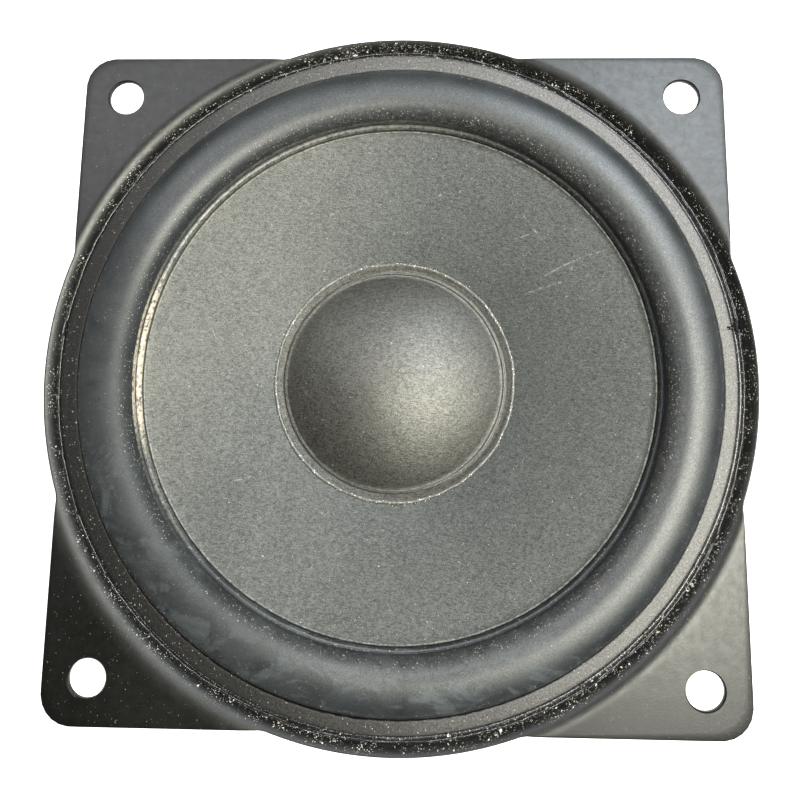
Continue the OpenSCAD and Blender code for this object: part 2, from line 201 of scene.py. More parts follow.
def make_object(name, vertices, faces, material, sharp=35):
    """A smooth-shaded object, with edges sharper than an angle in degrees kept crisp."""
    mesh = bpy.data.meshes.new(name)
    mesh.from_pydata([tuple(Vector(v) * MM) for v in vertices], [], faces)
    shell = bmesh.new()
    shell.from_mesh(mesh)
    bmesh.ops.remove_doubles(shell, verts=shell.verts, dist=1e-7)
    bmesh.ops.recalc_face_normals(shell, faces=shell.faces)
    shell.to_mesh(mesh)
    shell.free()
    obj = bpy.data.objects.new(name, mesh)
    bpy.context.scene.collection.objects.link(obj)
    mesh.materials.append(material)
    shade(obj, sharp)
    return obj


def shade(obj, sharp=35):
    mesh = obj.data
    mesh.polygons.foreach_set("use_smooth", [True] * len(mesh.polygons))
    mesh.set_sharp_from_angle(angle=radians(sharp))


def grid_faces(rows, columns, close_rows=True):
    """Quads over rings of points, stored ring by ring."""
    faces = []
    for i in range(rows if close_rows else rows - 1):
        here, there = i * columns, (i + 1) % rows * columns
        for j in range(columns):
            k = (j + 1) % columns
            faces.append((here + j, here + k, there + k, there + j))
    return faces


def capped_faces(rows, columns):
    """Quads over rings of points, with the first and the last ring filled."""
    last = (rows - 1) * columns
    ends = [tuple(range(columns))[::-1], tuple(range(last, last + columns))]
    return grid_faces(rows, columns, close_rows=False) + ends


def polar(r, angle, z):
    return r * cos(angle), r * sin(angle), z


def lathe(name, outline, material, segments=SEGMENTS, closed=True, shape=None, sharp=35):
    """A body of revolution of an outline of (radius, height) points.

    shape, if given, moves a point: (radius, height, angle, index) becomes (radius, height).
    """
    vertices = []
    for k, (r, z) in enumerate(outline):
        for j in range(segments):
            angle = tau * j / segments
            rr, zz = shape(r, z, angle, k) if shape else (r, z)
            vertices.append(polar(rr, angle, zz))
    faces = grid_faces(len(outline), segments, close_rows=closed)
    return make_object(name, vertices, faces, material, sharp)


def roughen(obj, amount, scale, seed=0.0):
    """Moves the surface in and out by up to amount, in bumps about scale across."""
    mesh = obj.data
    normals = [v.normal.copy() for v in mesh.vertices]
    offset = Vector((seed, seed * 0.7, seed * 1.3))
    for v, n in zip(mesh.vertices, normals):
        v.co += n * (noise.noise(v.co / MM / scale + offset) * amount * MM)
    return obj


def ring_noise(angle, radius, scale, seed):
    """Smooth noise along a circle, from about -1 to 1, that meets itself."""
    p = Vector((cos(angle), sin(angle), 0)) * (radius / scale)
    return noise.noise(p + Vector((seed, seed * 0.31, seed * 0.57)))


def tube(points, radius, sides=6, closed=False):
    """Vertices and faces of a round tube along points."""
    points = [np.array(p, float) for p in points]
    count = len(points)
    vertices = []
    side = None
    for i, p in enumerate(points):
        ahead = points[(i + 1) % count] if closed or i + 1 < count else p
        back = points[i - 1] if closed or i else p
        along = ahead - back
        along /= np.linalg.norm(along)
        if side is None:
            pick = np.array((0, 0, 1.0)) if abs(along[2]) < 0.9 else np.array((1.0, 0, 0))
            side = np.cross(along, pick)
        side = side - (side @ along) * along
        side /= np.linalg.norm(side)
        up = np.cross(along, side)
        for s in range(sides):
            t = tau * s / sides
            vertices.append(tuple(p + radius * (side * cos(t) + up * sin(t))))
    return vertices, grid_faces(count, sides) if closed else capped_faces(count, sides)


def joined(parts):
    """Several (vertices, faces) as one."""
    vertices, faces = [], []
    for more, loops in parts:
        base = len(vertices)
        vertices += more
        faces += [tuple(i + base for i in loop) for loop in loops]
    return vertices, faces


def block(low, high):
    """Vertices and faces of a box between two corners."""
    xs, ys, zs = zip(low, high)
    vertices = [(x, y, z) for x in xs for y in ys for z in zs]
    faces = [(0, 1, 3, 2), (4, 6, 7, 5), (0, 4, 5, 1), (2, 3, 7, 6), (0, 2, 6, 4), (1, 5, 7, 3)]
    return vertices, faces


def prism(outline, place, low, high):
    """Vertices and faces of an outline extruded from low to high: place(x, y, h) gives a point."""
    vertices = [place(x, y, h) for h in (low, high) for x, y in outline]
    return vertices, capped_faces(2, len(outline))


def sideways(y, z, x):
    return x, y, z


def boolean(obj, cutter, operation):
    """Applies an exact boolean, and removes the cutter."""
    modifier = obj.modifiers.new(operation.lower(), "BOOLEAN")
    modifier.operation = operation
    modifier.solver = "EXACT"
    modifier.object = cutter
    bpy.context.view_layer.update()
    graph = bpy.context.evaluated_depsgraph_get()
    result = bpy.data.meshes.new_from_object(obj.evaluated_get(graph))
    obj.modifiers.clear()
    obj.data = result
    bpy.data.objects.remove(cutter)


# ---------------------------------------------------------------- shader helper


class Shader:
    """A material and short calls that add nodes to it."""

    def __init__(self, name, **sockets):
        self.material = bpy.data.materials.new(name)
        self.material.use_nodes = True
        self.tree = self.material.node_tree
        self.bsdf = self.tree.nodes["Principled BSDF"]
        self.done(**sockets)
        self.place = self.node("TexCoord").outputs["Object"]

    def node(self, kind, inputs=(), **settings):
        """A new node. inputs gives a socket or a value for an input's name or number."""
        made = self.tree.nodes.new("ShaderNode" + kind)
        for key, value in settings.items():
            setattr(made, key, value)
        for key, value in dict(inputs).items():
            self.put(made.inputs[key], value)
        return made

    def put(self, socket, value):
        """Links a socket, or sets its value. A plain colour gets its alpha."""
        if isinstance(value, bpy.types.NodeSocket):
            self.tree.links.new(value, socket)
        else:
            plain = socket.type == "RGBA" and len(value) == 3
            socket.default_value = (*value, 1.0) if plain else value

    def done(self, **sockets):
        """Sets inputs of the surface, and gives the material."""
        for key, value in sockets.items():
            name = key.replace("_", " ").title().replace("Ior", "IOR")
            self.put(self.bsdf.inputs[name], value)
        return self.material

    def vector(self, operation, *inputs):
        return self.node("VectorMath", enumerate(inputs), operation=operation).outputs

    def scaled(self, scale, turn=(0, 0, 0), source=None):
        """The place, turned and then scaled per millimetre."""
        turned = self.node("Mapping", {"Vector": source or self.place,
                                       "Rotation": [radians(a) for a in turn]})
        return self.vector("MULTIPLY", turned.outputs[0], [x / MM for x in scale])[0]

    def noise(self, per_mm, detail=2.0, rough=0.5, twist=0.0, source=None):
        """Noise of a scale per millimetre, or per unit of the source."""
        scale = per_mm if source else per_mm / MM
        return self.node("TexNoise", {
            "Vector": source or self.place, "Scale": scale, "Detail": detail,
            "Roughness": rough, "Distortion": twist}).outputs[0]

    def cells(self, per_mm, source=None):
        """Distance and random colour of Voronoi cells."""
        made = self.node("TexVoronoi", {"Vector": source or self.place, "Scale": per_mm / MM})
        return made.outputs["Distance"], made.outputs["Color"]

    def math(self, operation, *inputs):
        return self.node("Math", enumerate(inputs), operation=operation).outputs[0]

    def times(self, a, *others):
        for b in others:
            a = self.math("MULTIPLY", a, b)
        return a

    def plus(self, a, b):
        return self.math("ADD", a, b)

    def minus(self, a, b):
        return self.math("SUBTRACT", a, b)

    def most(self, a, b):
        return self.math("MAXIMUM", a, b)

    def size_of(self, a):
        return self.math("ABSOLUTE", a)

    def range(self, value, low, high, to_low=0.0, to_high=1.0, smooth=True):
        """Maps low..high to to_low..to_high, clamped."""
        kind = "SMOOTHSTEP" if smooth else "LINEAR"
        return self.node("MapRange", enumerate((value, low, high, to_low, to_high)),
                         clamp=True, interpolation_type=kind).outputs[0]

    def mix(self, share, a, b, kind="MIX"):
        """A colour between a and b."""
        return self.node("Mix", {0: share, 6: a, 7: b}, data_type="RGBA",
                         blend_type=kind).outputs[2]

    def blend(self, share, a, b):
        """A number between a and b."""
        return self.node("Mix", {0: share, 2: a, 3: b}, data_type="FLOAT").outputs[0]

    def parts(self, source=None):
        """The x, y and z of a vector."""
        return self.node("SeparateXYZ", {0: source or self.place}).outputs

    def radius(self):
        """Distance from the axis, in millimetres."""
        flat = self.vector("MULTIPLY", self.place, (1 / MM, 1 / MM, 0))[0]
        return self.vector("LENGTH", flat)["Value"]

    def band(self, value, low, high, soft):
        """1 between low and high, falling to 0 over soft on each side."""
        rise = self.range(value, low - soft, low)
        fall = self.range(value, high, high + soft, 1.0, 0.0)
        return self.times(rise, fall)

    def specks(self, per_mm, kept, size):
        """Scattered irregular specks: kept is the share of cells that hold one."""
        wobble = self.node("TexNoise", {"Vector": self.place, "Scale": 3 * per_mm / MM})
        warped = self.vector("MULTIPLY_ADD", wobble.outputs["Color"],
                             (0.9 / per_mm * MM,) * 3, self.place)[0]
        distance, tint = self.cells(per_mm, warped)
        chance = self.node("SeparateColor", {0: tint}).outputs
        chosen = self.math("GREATER_THAN", chance[0], 1 - kept)
        near = self.math("LESS_THAN", distance, self.times(chance[1], size))
        return self.times(chosen, near)

    def bump(self, height, strength, depth_mm, after=None):
        """The normal that a height gives, on top of an earlier one if given."""
        inputs = {"Strength": strength, "Distance": depth_mm * MM, "Height": height}
        if after:
            inputs["Normal"] = after
        return self.node("Bump", inputs).outputs[0]


# ---------------------------------------------------------------- materials

DUST = (0.46, 0.44, 0.4)


def black_paint():
    """Satin black paint with a fine orange peel, fine dust, and grit in the recess."""
    s = Shader("black_paint", specular_ior_level=0.34)
    radius = s.radius()
    x, y, height = s.parts()
    clouds = s.noise(0.03, 3, 0.5)
    base = s.mix(s.range(clouds, 0.35, 0.65), (0.003, 0.003, 0.0025), (0.006, 0.006, 0.0055))
    facing = s.parts(s.node("NewGeometry").outputs["Normal"])[2]
    front = s.times(s.range(height, -3.4 * MM, -2.6 * MM), s.range(facing, 0.0, 0.3))
    recess = s.times(s.band(radius, 65.6, 68.2, 0.9), front)
    patches = s.range(s.noise(0.3, 4, 0.7), 0.42, 0.58)
    grit = s.most(s.specks(4.2, 0.5, 0.4), s.specks(2.1, 0.22, 0.3))
    grit = s.times(grit, recess, patches)
    fine = s.most(s.specks(0.9, 0.1, 0.14), s.specks(2.6, 0.2, 0.22))
    dust = s.most(grit, s.times(fine, 0.22))
    rough = s.range(s.noise(0.5, 6, 0.8), 0.35, 0.65, 0.3, 0.38)
    lower_left = s.range(s.plus(x, y), -95 * MM, -50 * MM, 1.0, 0.0)
    scuffed = s.times(s.band(radius, 68.4, 71.0, 1.5), lower_left)
    rough = s.plus(rough, s.times(scuffed, 0.1))
    peel = s.bump(s.noise(2.4, 4, 0.7), 0.3, 0.05)
    return s.done(
        base_color=s.mix(dust, base, DUST),
        roughness=s.blend(dust, rough, 0.9),
        normal=s.bump(dust, 0.4, 0.12, peel),
    )


def grain_board():
    """Pressed granular gasket board: dark grains and pale dust, with painted light that makes the
    board paler and shinier towards the right.
    """
    s = Shader("gasket_grain")
    grain = s.noise(2.4, 5, 0.8)
    fine = s.noise(6.0, 3, 0.7)
    both = s.plus(s.times(grain, 0.6), s.times(fine, 0.4))
    x, y, _ = s.parts()
    # Painted light: this share makes the board dark at the left and pale at the right, where the
    # light falls on it.
    side = s.plus(x, s.times(s.noise(0.06, 4, 0.6), 30 * MM))
    paleness = s.range(s.plus(side, s.times(y, 0.3)), -45 * MM, 65 * MM)
    tone = s.range(both, 0.38, 0.62)
    dark = s.mix(paleness, (0.004, 0.004, 0.004), (0.024, 0.023, 0.022))
    pale = s.mix(paleness, (0.011, 0.0105, 0.0095), (0.118, 0.111, 0.106))
    dust = s.times(s.specks(2.4, 0.3, 0.28), 0.5)
    return s.done(
        base_color=s.mix(dust, s.mix(tone, dark, pale), DUST),
        specular_ior_level=s.times(s.range(tone, 0.0, 1.0, 0.65, 1.0), s.blend(paleness, 0.25, 0.52)),
        roughness=s.range(grain, 0.3, 0.7, 0.42, 0.55),
        normal=s.bump(both, 0.2, 0.1),
    )


def loose_grit():
    """Crumbs from dark grey to off-white, some of them tan."""
    s = Shader("loose_grit", roughness=0.7)
    tone = s.noise(1.3, 2, 0.5)
    fine = s.noise(9.0, 2, 0.5)
    base = s.mix(s.range(tone, 0.42, 0.72), (0.05, 0.049, 0.046), (0.6, 0.58, 0.53))
    brown = s.range(s.noise(0.9, 2, 0.5, source=s.scaled((1, 1, 1), (0, 0, 40))), 0.56, 0.64)
    return s.done(
        base_color=s.mix(s.times(brown, 0.5), base, (0.42, 0.3, 0.2)),
        normal=s.bump(fine, 0.4, 0.03),
    )


def glossy_adhesive(name, base, roughness, fleck):
    """Set adhesive: a shiny skin with small flecks and bubbles in it."""
    s = Shader(name, specular_ior_level=0.6)
    flecks = s.times(s.specks(3.0, 0.5, 0.45), fleck)
    skin = s.noise(2.4, 3, 0.6)
    return s.done(
        base_color=s.mix(flecks, s.mix(skin, base, tuple(1.8 * c for c in base)), DUST),
        roughness=s.range(skin, 0.3, 0.7, roughness, roughness + 0.16),
        normal=s.bump(skin, 0.5, 0.15),
    )


def rubber():
    """Moulded rubber: bloom, chalky smears, haze at the left, a painted highlight on the lip, grit
    beside the roll.
    """
    s = Shader("surround_rubber")
    radius = s.radius()
    x, y, _ = s.parts()
    lower_left = s.range(s.plus(s.times(y, -1.0), s.times(x, -0.45)), 8 * MM, 50 * MM)
    smear = s.noise(0.13, 5, 0.7, 1.2)
    streaks = s.noise(1.0, 3, 0.6, source=s.scaled((0.10, 0.4, 0.3), (0, 0, 12)))
    streaked = s.range(streaks, 0.35, 0.6, 0.25, 1.0)
    chalk = s.times(s.range(smear, 0.4, 0.6), streaked, lower_left, 0.75)
    mottle = s.noise(0.12, 5, 0.7, 0.8)
    paleness = s.range(mottle, 0.3, 0.7, 0.1, 0.3)
    dull = s.range(s.plus(s.times(x, -1.0), s.times(y, -0.4)), 28 * MM, 52 * MM)
    bloom = s.most(chalk, paleness)
    lip = s.band(radius, 51.1, 51.85, 0.1)
    valley = s.most(s.band(radius, 51.4, 53.4, 0.9), s.band(radius, 61.6, 63, 0.5))
    scatter = s.plus(s.times(valley, 0.85), 0.06)
    strewn = s.math("GREATER_THAN", scatter, s.noise(0.5, 2, 0.7))
    grit = s.times(s.specks(3.0, 0.5, 0.34), strewn)
    loose = s.specks(1.1, 0.12, 0.12)
    mist = s.times(s.specks(3.2, 0.22, 0.22), 0.3)
    dust = s.most(s.times(s.most(grit, loose), 0.5), mist)
    base = s.mix(bloom, (0.004, 0.005, 0.0058), (0.05, 0.058, 0.063))
    haze = s.times(dull, s.range(mottle, 0.3, 0.7, 0.2, 0.6))
    base = s.mix(haze, base, (0.03, 0.031, 0.031))
    far = s.range(s.plus(s.times(x, 0.55), s.size_of(y)), 12 * MM, 42 * MM)
    dusty = s.range(s.noise(1.1, 4, 0.75), 0.38, 0.6, 0.1, 1.0)
    flank = s.times(s.band(radius, 52.1, 54.4, 0.9), far, dusty)
    base = s.mix(flank, base, (0.034, 0.034, 0.033))
    # Painted highlight: this mask makes the lip pale and glossier at the upper left, where it faces
    # the light.
    upper_left = s.range(s.minus(s.times(y, 0.7), x), 5 * MM, 45 * MM)
    painted_lip_highlight = s.times(lip, upper_left, s.range(s.noise(1.4, 3, 0.7), 0.3, 0.6))
    base = s.mix(painted_lip_highlight, base, (0.12, 0.12, 0.11))
    # Painted highlight: a cream patch on the lip at the left, where the light glints off it.
    away = s.size_of(s.minus(y, 4 * MM))
    lip_glint = s.times(s.range(away, 8 * MM, 22 * MM, 1.0, 0.0),
                   s.range(x, -50 * MM, -46 * MM, 1.0, 0.0))
    base = s.mix(s.times(painted_lip_highlight, lip_glint), base, (0.5, 0.43, 0.34))
    pores = s.noise(4.0, 3, 0.6)
    skin = s.blend(bloom, s.blend(dull, 0.4, 0.46), 0.62)
    shine = s.times(s.blend(dull, 0.58, 0.24), s.range(pores, 0.35, 0.65, 0.75, 1.25))
    return s.done(
        base_color=s.mix(dust, base, DUST),
        specular_ior_level=shine,
        roughness=s.blend(dust, s.blend(painted_lip_highlight, skin, 0.36), 0.9),
        normal=s.bump(dust, 0.4, 0.1, s.bump(pores, 0.22, 0.03)),
    )


def paper_fibres(s, contrast):
    """Short fibres lying in three directions, from 0 to 1."""
    layers = []
    for turn, seed in ((8, 1.0), (68, 1.13), (-48, 0.91)):
        source = s.scaled((0.9 * seed, 5.0 * seed, 2.0), (0, 0, turn))
        layers.append(s.noise(1.0, 3, 0.65, 0.4, source=source))
    total = s.plus(s.plus(s.times(layers[0], 1.5), layers[1]), layers[2])
    return s.range(s.times(total, 1 / 3.5), 0.5 - contrast, 0.5 + contrast, smooth=False)


def pulp_paper(name, dark, pale, roughness, gloss, on_cone):
    """Pressed paper pulp: fibres, flecks and, on the cone, scuffs and a pale edge line."""
    s = Shader(name)
    fibres = paper_fibres(s, 0.11)
    grain = s.noise(5.0, 4, 0.8)
    tone = s.plus(s.times(fibres, 0.6), s.times(s.range(grain, 0.34, 0.66, smooth=False), 0.4))
    clouds = s.noise(0.05, 3, 0.5)
    tone = s.plus(tone, s.times(s.minus(clouds, 0.5), 0.2))
    hairs = s.noise(1.0, 2, 0.6, 0.8, source=s.scaled((0.35, 6, 2), (0, 0, 24)))
    base = s.mix(s.range(tone, 0.2, 0.8), dark, pale)
    hairs = s.times(s.range(hairs, 0.66, 0.72), 0.4)
    base = s.mix(hairs, base, tuple(3 * c for c in pale))
    flecks = s.times(s.most(s.specks(1.1, 0.16, 0.13), s.specks(2.7, 0.1, 0.22)), 0.5)
    if on_cone:
        x, y, _ = s.parts()
        # Partly painted light, partly faded paper: the cone is paler and beige towards the upper
        # left, where it faces the light.
        faded_and_lit = s.range(s.minus(s.times(y, 0.6), x), 15 * MM, 55 * MM)
        base = s.mix(s.times(faded_and_lit, tone), base, (0.085, 0.082, 0.066))
        flecks = s.most(flecks, scratches(s))
        line = s.band(s.radius(), 50.56, 50.78, 0.16)
        line = s.times(line, s.range(s.noise(1.6, 4, 0.75), 0.36, 0.62))
        flecks = s.most(flecks, s.times(line, 0.26))
        shine = s.range(x, -12 * MM, 25 * MM, gloss, 0.9 * gloss)
    else:
        flange = s.band(s.radius(), 22.9, 27.0, 0.3)
        shine = s.blend(flange, gloss, 0.5 * gloss)
    return s.done(
        base_color=s.mix(flecks, base, DUST),
        specular_ior_level=s.times(s.range(tone, 0.2, 0.8, 0.7, 1.2), shine),
        specular_tint=(1.0, 1.0, 1.0, 1.0) if on_cone else (1.0, 0.985, 0.93, 1.0),
        roughness=s.range(tone, 0.15, 0.85, roughness + 0.08, roughness - 0.04),
        normal=s.bump(grain, 0.35, 0.05, s.bump(fibres, 0.5, 0.06)),
    )


SCRATCHES = (
    # middle x, middle y, length, direction in degrees, how much it bows
    (35.5, 24.0, 17.0, 22, 0.012),
    (30.0, 19.0, 11.0, 16, 0.012),
    (27.5, 30.5, 9.0, -52, -0.01),
    (24.5, 29.0, 6.0, 20, 0.0),
    (-31.0, -20.5, 4.5, 14, 0.0),
    (-37.5, 8.0, 5.0, -58, 0.0),
    (8.0, 38.0, 3.5, 28, 0.0),
    (-15.0, 33.0, 3.0, 70, 0.0),
)


def scratches(s):
    """Thin broken pale lines where the paper was scuffed."""
    found = 0.0
    breaks = s.range(s.noise(1.1, 3, 0.7), 0.44, 0.6)
    for x, y, length, turn, bow in SCRATCHES:
        shifted = s.vector("SUBTRACT", s.place, (x * MM, y * MM, 0))[0]
        along, across, _ = s.parts(s.scaled((1, 1, 1), (0, 0, -turn), shifted))
        off = s.size_of(s.plus(across, s.times(along, along, bow)))
        near = s.range(off, 0.04, 0.3, 1.0, 0.0)
        inside = s.range(s.size_of(along), length * 0.3, length * 0.5, 1.0, 0.0)
        found = s.most(found, s.times(near, inside))
    return s.times(found, breaks, 0.15)


def ferrite():
    """Ground hard ferrite: dark grey, faintly crystalline, with grinding marks."""
    s = Shader("ferrite", specular_ior_level=0.55)
    crystal = s.cells(2.4)[1]
    clouds = s.noise(0.12, 5, 0.65)
    base = s.mix(clouds, (0.028, 0.029, 0.031), (0.055, 0.056, 0.06))
    base = s.mix(0.18, base, crystal, "OVERLAY")
    grind = s.noise(1.0, 2, 0.5, source=s.scaled((0.3, 6, 6)))
    return s.done(
        base_color=base,
        roughness=s.range(clouds, 0.3, 0.7, 0.4, 0.62),
        normal=s.bump(grind, 0.12, 0.03, s.bump(s.noise(1.2, 4, 0.7), 0.3, 0.08)),
    )


def plated_steel(name, base, warm, roughness):
    """Zinc-plated steel, with uneven passivation and turned marks round the axis."""
    s = Shader(name, metallic=1.0)
    clouds = s.noise(0.08, 5, 0.6, 0.8)
    turned = s.node("CombineXYZ", {0: s.times(s.radius(), 5.0), 2: s.times(s.parts()[2], 5.0 / MM)})
    rings = s.noise(1.0, 2, 0.6, source=turned.outputs[0])
    stains = s.range(s.noise(0.16, 4, 0.65), 0.55, 0.75)
    tone = s.mix(s.range(clouds, 0.35, 0.65), base, warm)
    return s.done(
        base_color=s.mix(s.times(stains, 0.4), tone, (0.2, 0.18, 0.15)),
        roughness=s.range(clouds, 0.3, 0.7, roughness, roughness + 0.16),
        normal=s.bump(rings, 0.12, 0.02),
    )


def metal(name, base, roughness, scale=1.5):
    """A small bright metal part, slightly tarnished."""
    s = Shader(name, metallic=1.0)
    tarnish = s.noise(scale, 4, 0.65)
    return s.done(
        base_color=s.mix(s.range(tarnish, 0.4, 0.75), base, tuple(c * 0.55 for c in base)),
        roughness=s.range(tarnish, 0.3, 0.7, roughness, roughness + 0.2),
        normal=s.bump(s.noise(4 * scale, 3), 0.15, 0.03),
    )


def woven_cloth():
    """Resin-dipped cotton weave of the spider."""
    s = Shader("spider_cloth", specular_ior_level=0.3, sheen_weight=0.2)
    x, y, _ = s.parts()
    per_m = tau / (0.62 * MM)
    warp = s.math("SINE", s.times(x, per_m))
    weft = s.math("SINE", s.times(y, per_m))
    weave = s.range(s.times(warp, weft), -1, 1, smooth=False)
    slubs = s.noise(1.4, 4, 0.7)
    tone = s.plus(s.times(weave, 0.45), s.times(slubs, 0.6))
    return s.done(
        base_color=s.mix(tone, (0.2, 0.1, 0.025), (0.55, 0.35, 0.12)),
        roughness=s.range(slubs, 0.3, 0.7, 0.65, 0.85),
        normal=s.bump(weave, 0.6, 0.12),
    )


def fibrous(name, dark, pale, roughness, grain=(1.5, 1.5, 0.5), bump=(0.2, 0.04)):
    """Sheet with fine fibres: the terminals' board, and what is wound round the former."""
    s = Shader(name, specular_ior_level=0.45)
    fibres = s.noise(1.0, 4, 0.7, source=s.scaled(grain))
    return s.done(
        base_color=s.mix(fibres, dark, pale),
        roughness=s.range(fibres, 0.3, 0.7, *roughness),
        normal=s.bump(fibres, *bump),
    )


PAINT = black_paint()
GRIT = loose_grit()
GASKET = grain_board()
BLACK_GLUE = glossy_adhesive("black_adhesive", (0.008, 0.008, 0.009), 0.12, 0.25)
CLEAR_GLUE = glossy_adhesive("clear_adhesive", (0.06, 0.06, 0.054), 0.12, 1.0)
RUBBER_SKIN = rubber()
CONE_PAPER = pulp_paper("cone_paper", (0.002, 0.0025, 0.002), (0.018, 0.0225, 0.0185),
                        roughness=0.47, gloss=0.62, on_cone=True)
CAP_PAPER = pulp_paper("cap_paper", (0.003, 0.003, 0.0027), (0.037, 0.036, 0.03),
                       roughness=0.39, gloss=0.84, on_cone=False)
FERRITE = ferrite()
ZINC = plated_steel("plated_steel", (0.36, 0.37, 0.38), (0.38, 0.35, 0.28), 0.3)
BARE_STEEL = metal("bare_steel", (0.46, 0.46, 0.45), 0.32, 0.7)
RIVET_METAL = metal("rivet_metal", (0.4, 0.4, 0.4), 0.28)
TIN = metal("tinned_brass", (0.45, 0.44, 0.41), 0.26)
SOLDER = metal("solder", (0.62, 0.63, 0.64), 0.2)
COPPER = metal("coil_wire", (0.62, 0.2, 0.07), 0.25, 3)
BRAID = metal("tinsel_braid", (0.6, 0.27, 0.13), 0.34, 3)
SCREEN = metal("screen_mesh", (0.12, 0.12, 0.12), 0.4, 3)
CLOTH = woven_cloth()
BOARD = fibrous("fibre_board", (0.035, 0.016, 0.008), (0.13, 0.065, 0.03), (0.42, 0.6),
                grain=(0.5, 4, 4), bump=(0.25, 0.05))
KRAFT = fibrous("kraft_paper", (0.22, 0.12, 0.05), (0.5, 0.32, 0.16), (0.7, 0.85))
FILM = fibrous("former_film", (0.35, 0.16, 0.03), (0.6, 0.32, 0.07), (0.25, 0.4))
INK = fibrous("white_ink", (0.6, 0.6, 0.56), (0.8, 0.8, 0.76), (0.5, 0.65))


# ---------------------------------------------------------------- basket

RECESS_RADIUS = 68.6
SEAT_RADIUS = 60.5
WALL_FOOT = 41.5
RECESS_CORNERS = (
    # radius, height, radius of the rounding
    (95.0, 0.0, 0),
    (RECESS_RADIUS, 0.0, 4.0),
    (66.6, SEAT, 0.8),
    (SEAT_RADIUS, SEAT, 2.0),
    (WALL_FOOT, LEDGE, 1.5),
    (37.0, LEDGE, 2.0),
    (36.0, FLOOR_TOP, 1.5),
    (18.5, FLOOR_TOP, 0),
)
RECESS = rounded(RECESS_CORNERS, steps=10)
JOIN_RADIUS = 67.6
EDGE_ROUND = 0.3
EDGE_STEPS = 4
FLANGE_STEPS = 22
BASKET_SEGMENTS = 360
BEAD_HEIGHT = 0.63
BEAD_HALF_WIDTH = 3.4
BEAD_TOP = -5.2
BEAD_BOTTOM = -18.8
BEAD_FADE = 2.5
SPOKE_WIDTH = 14.0
WINDOW_TOP = -8.0
WINDOW_BOTTOM = LEDGE + 2
SIDE_VENT_RADIUS = 1.75


def rim_at(angle):
    """Distance from the axis to the flange's outer edge, in a direction."""
    c, s = abs(cos(angle)), abs(sin(angle))
    big, small = max(c, s), min(c, s)
    inner = HALF_SIDE - CORNER_RADIUS
    side = HALF_SIDE / big
    if small * side > inner:
        middle = inner * (c + s)
        side = middle + sqrt(middle * middle - 2 * inner * inner + CORNER_RADIUS**2)
    return max(side, RIM_RADIUS)


def height_along(path, r):
    """Height of a path, given from the outside inwards, at a radius."""
    xs = [p[0] for p in path][::-1]
    zs = [p[1] for p in path][::-1]
    return float(np.interp(r, xs, zs))


def bead(angle, r, z):
    """How far a faint bead pushes the wall out, above the middle of each window."""
    across = r * abs(sin((angle + pi / 4) % (pi / 2) - pi / 4))
    side = max(0.0, 1 - (across / BEAD_HALF_WIDTH) ** 2)
    along = clamp(min(BEAD_TOP - z, z - BEAD_BOTTOM) / BEAD_FADE)
    return BEAD_HEIGHT * side * side * along * along * (3 - 2 * along)


def basket_shell():
    """The pressed sheet as one closed shell: flange, recess, wall, ledge and floor."""
    back = beside(RECESS, SHEET)
    inside = [densify([p for p in path if p[0] < JOIN_RADIUS], 2.5) for path in (RECESS, back)]
    bend = [k / EDGE_STEPS * pi / 2 for k in range(EDGE_STEPS + 1)]
    steps = [(1 - k / FLANGE_STEPS) ** 2.2 for k in range(1, FLANGE_STEPS + 1)]
    columns = []
    for j in range(BASKET_SEGMENTS):
        angle = tau * (j + 0.5) / BASKET_SEGMENTS
        rim = rim_at(angle) - EDGE_ROUND
        edge = [(rim + EDGE_ROUND * cos(t), EDGE_ROUND * (sin(t) - 1)) for t in bend]
        edge += [(JOIN_RADIUS + (rim - JOIN_RADIUS) * s, 0.0) for s in steps]
        loop = [(r, height_along(RECESS, r) + z) for r, z in edge] + inside[0]
        loop += inside[1][::-1] + [(r, height_along(back, r) - z) for r, z in edge[::-1]]
        pushes = [bead(angle, r, z) for r, z in loop]
        columns.append([polar(r + p, angle, z - p) for (r, z), p in zip(loop, pushes)])
    vertices = [point for row in zip(*columns) for point in row]
    faces = grid_faces(len(columns[0]), BASKET_SEGMENTS)
    return make_object("basket_frame", vertices, faces, PAINT, sharp=40)


def turned(points, quarter):
    """Points turned about the axis by quarter turns."""
    c, s = round(cos(quarter * pi / 2)), round(sin(quarter * pi / 2))
    return [(x * c - y * s, x * s + y * c, z) for x, y, z in points]


def window_cutter(quarter):
    """A prism through one window of the wall."""
    lean = (RECESS_RADIUS - WALL_FOOT) / (LEDGE - SEAT)

    def half_width(r):
        return r * sin(radians(45) - asin(SPOKE_WIDTH / 2 / r))

    wide = half_width(SEAT_RADIUS + (SEAT - WINDOW_TOP) * lean)
    narrow = half_width(WALL_FOOT - (WINDOW_BOTTOM - LEDGE) * lean)
    outline = rounded([(-wide, WINDOW_TOP, 3), (-narrow, WINDOW_BOTTOM, 3),
                       (narrow, WINDOW_BOTTOM, 3), (wide, WINDOW_TOP, 3)], closed=True)
    vertices, faces = prism(outline, sideways, 20, 80)
    return turned(vertices, quarter), faces


def round_cutter(outline, place, count=48):
    """A turned cutter from (radius, distance) points, put in place by place(x, y, distance)."""
    vertices = [place(*polar(r, tau * j / count, d)) for r, d in outline for j in range(count)]
    return vertices, capped_faces(len(outline), count)


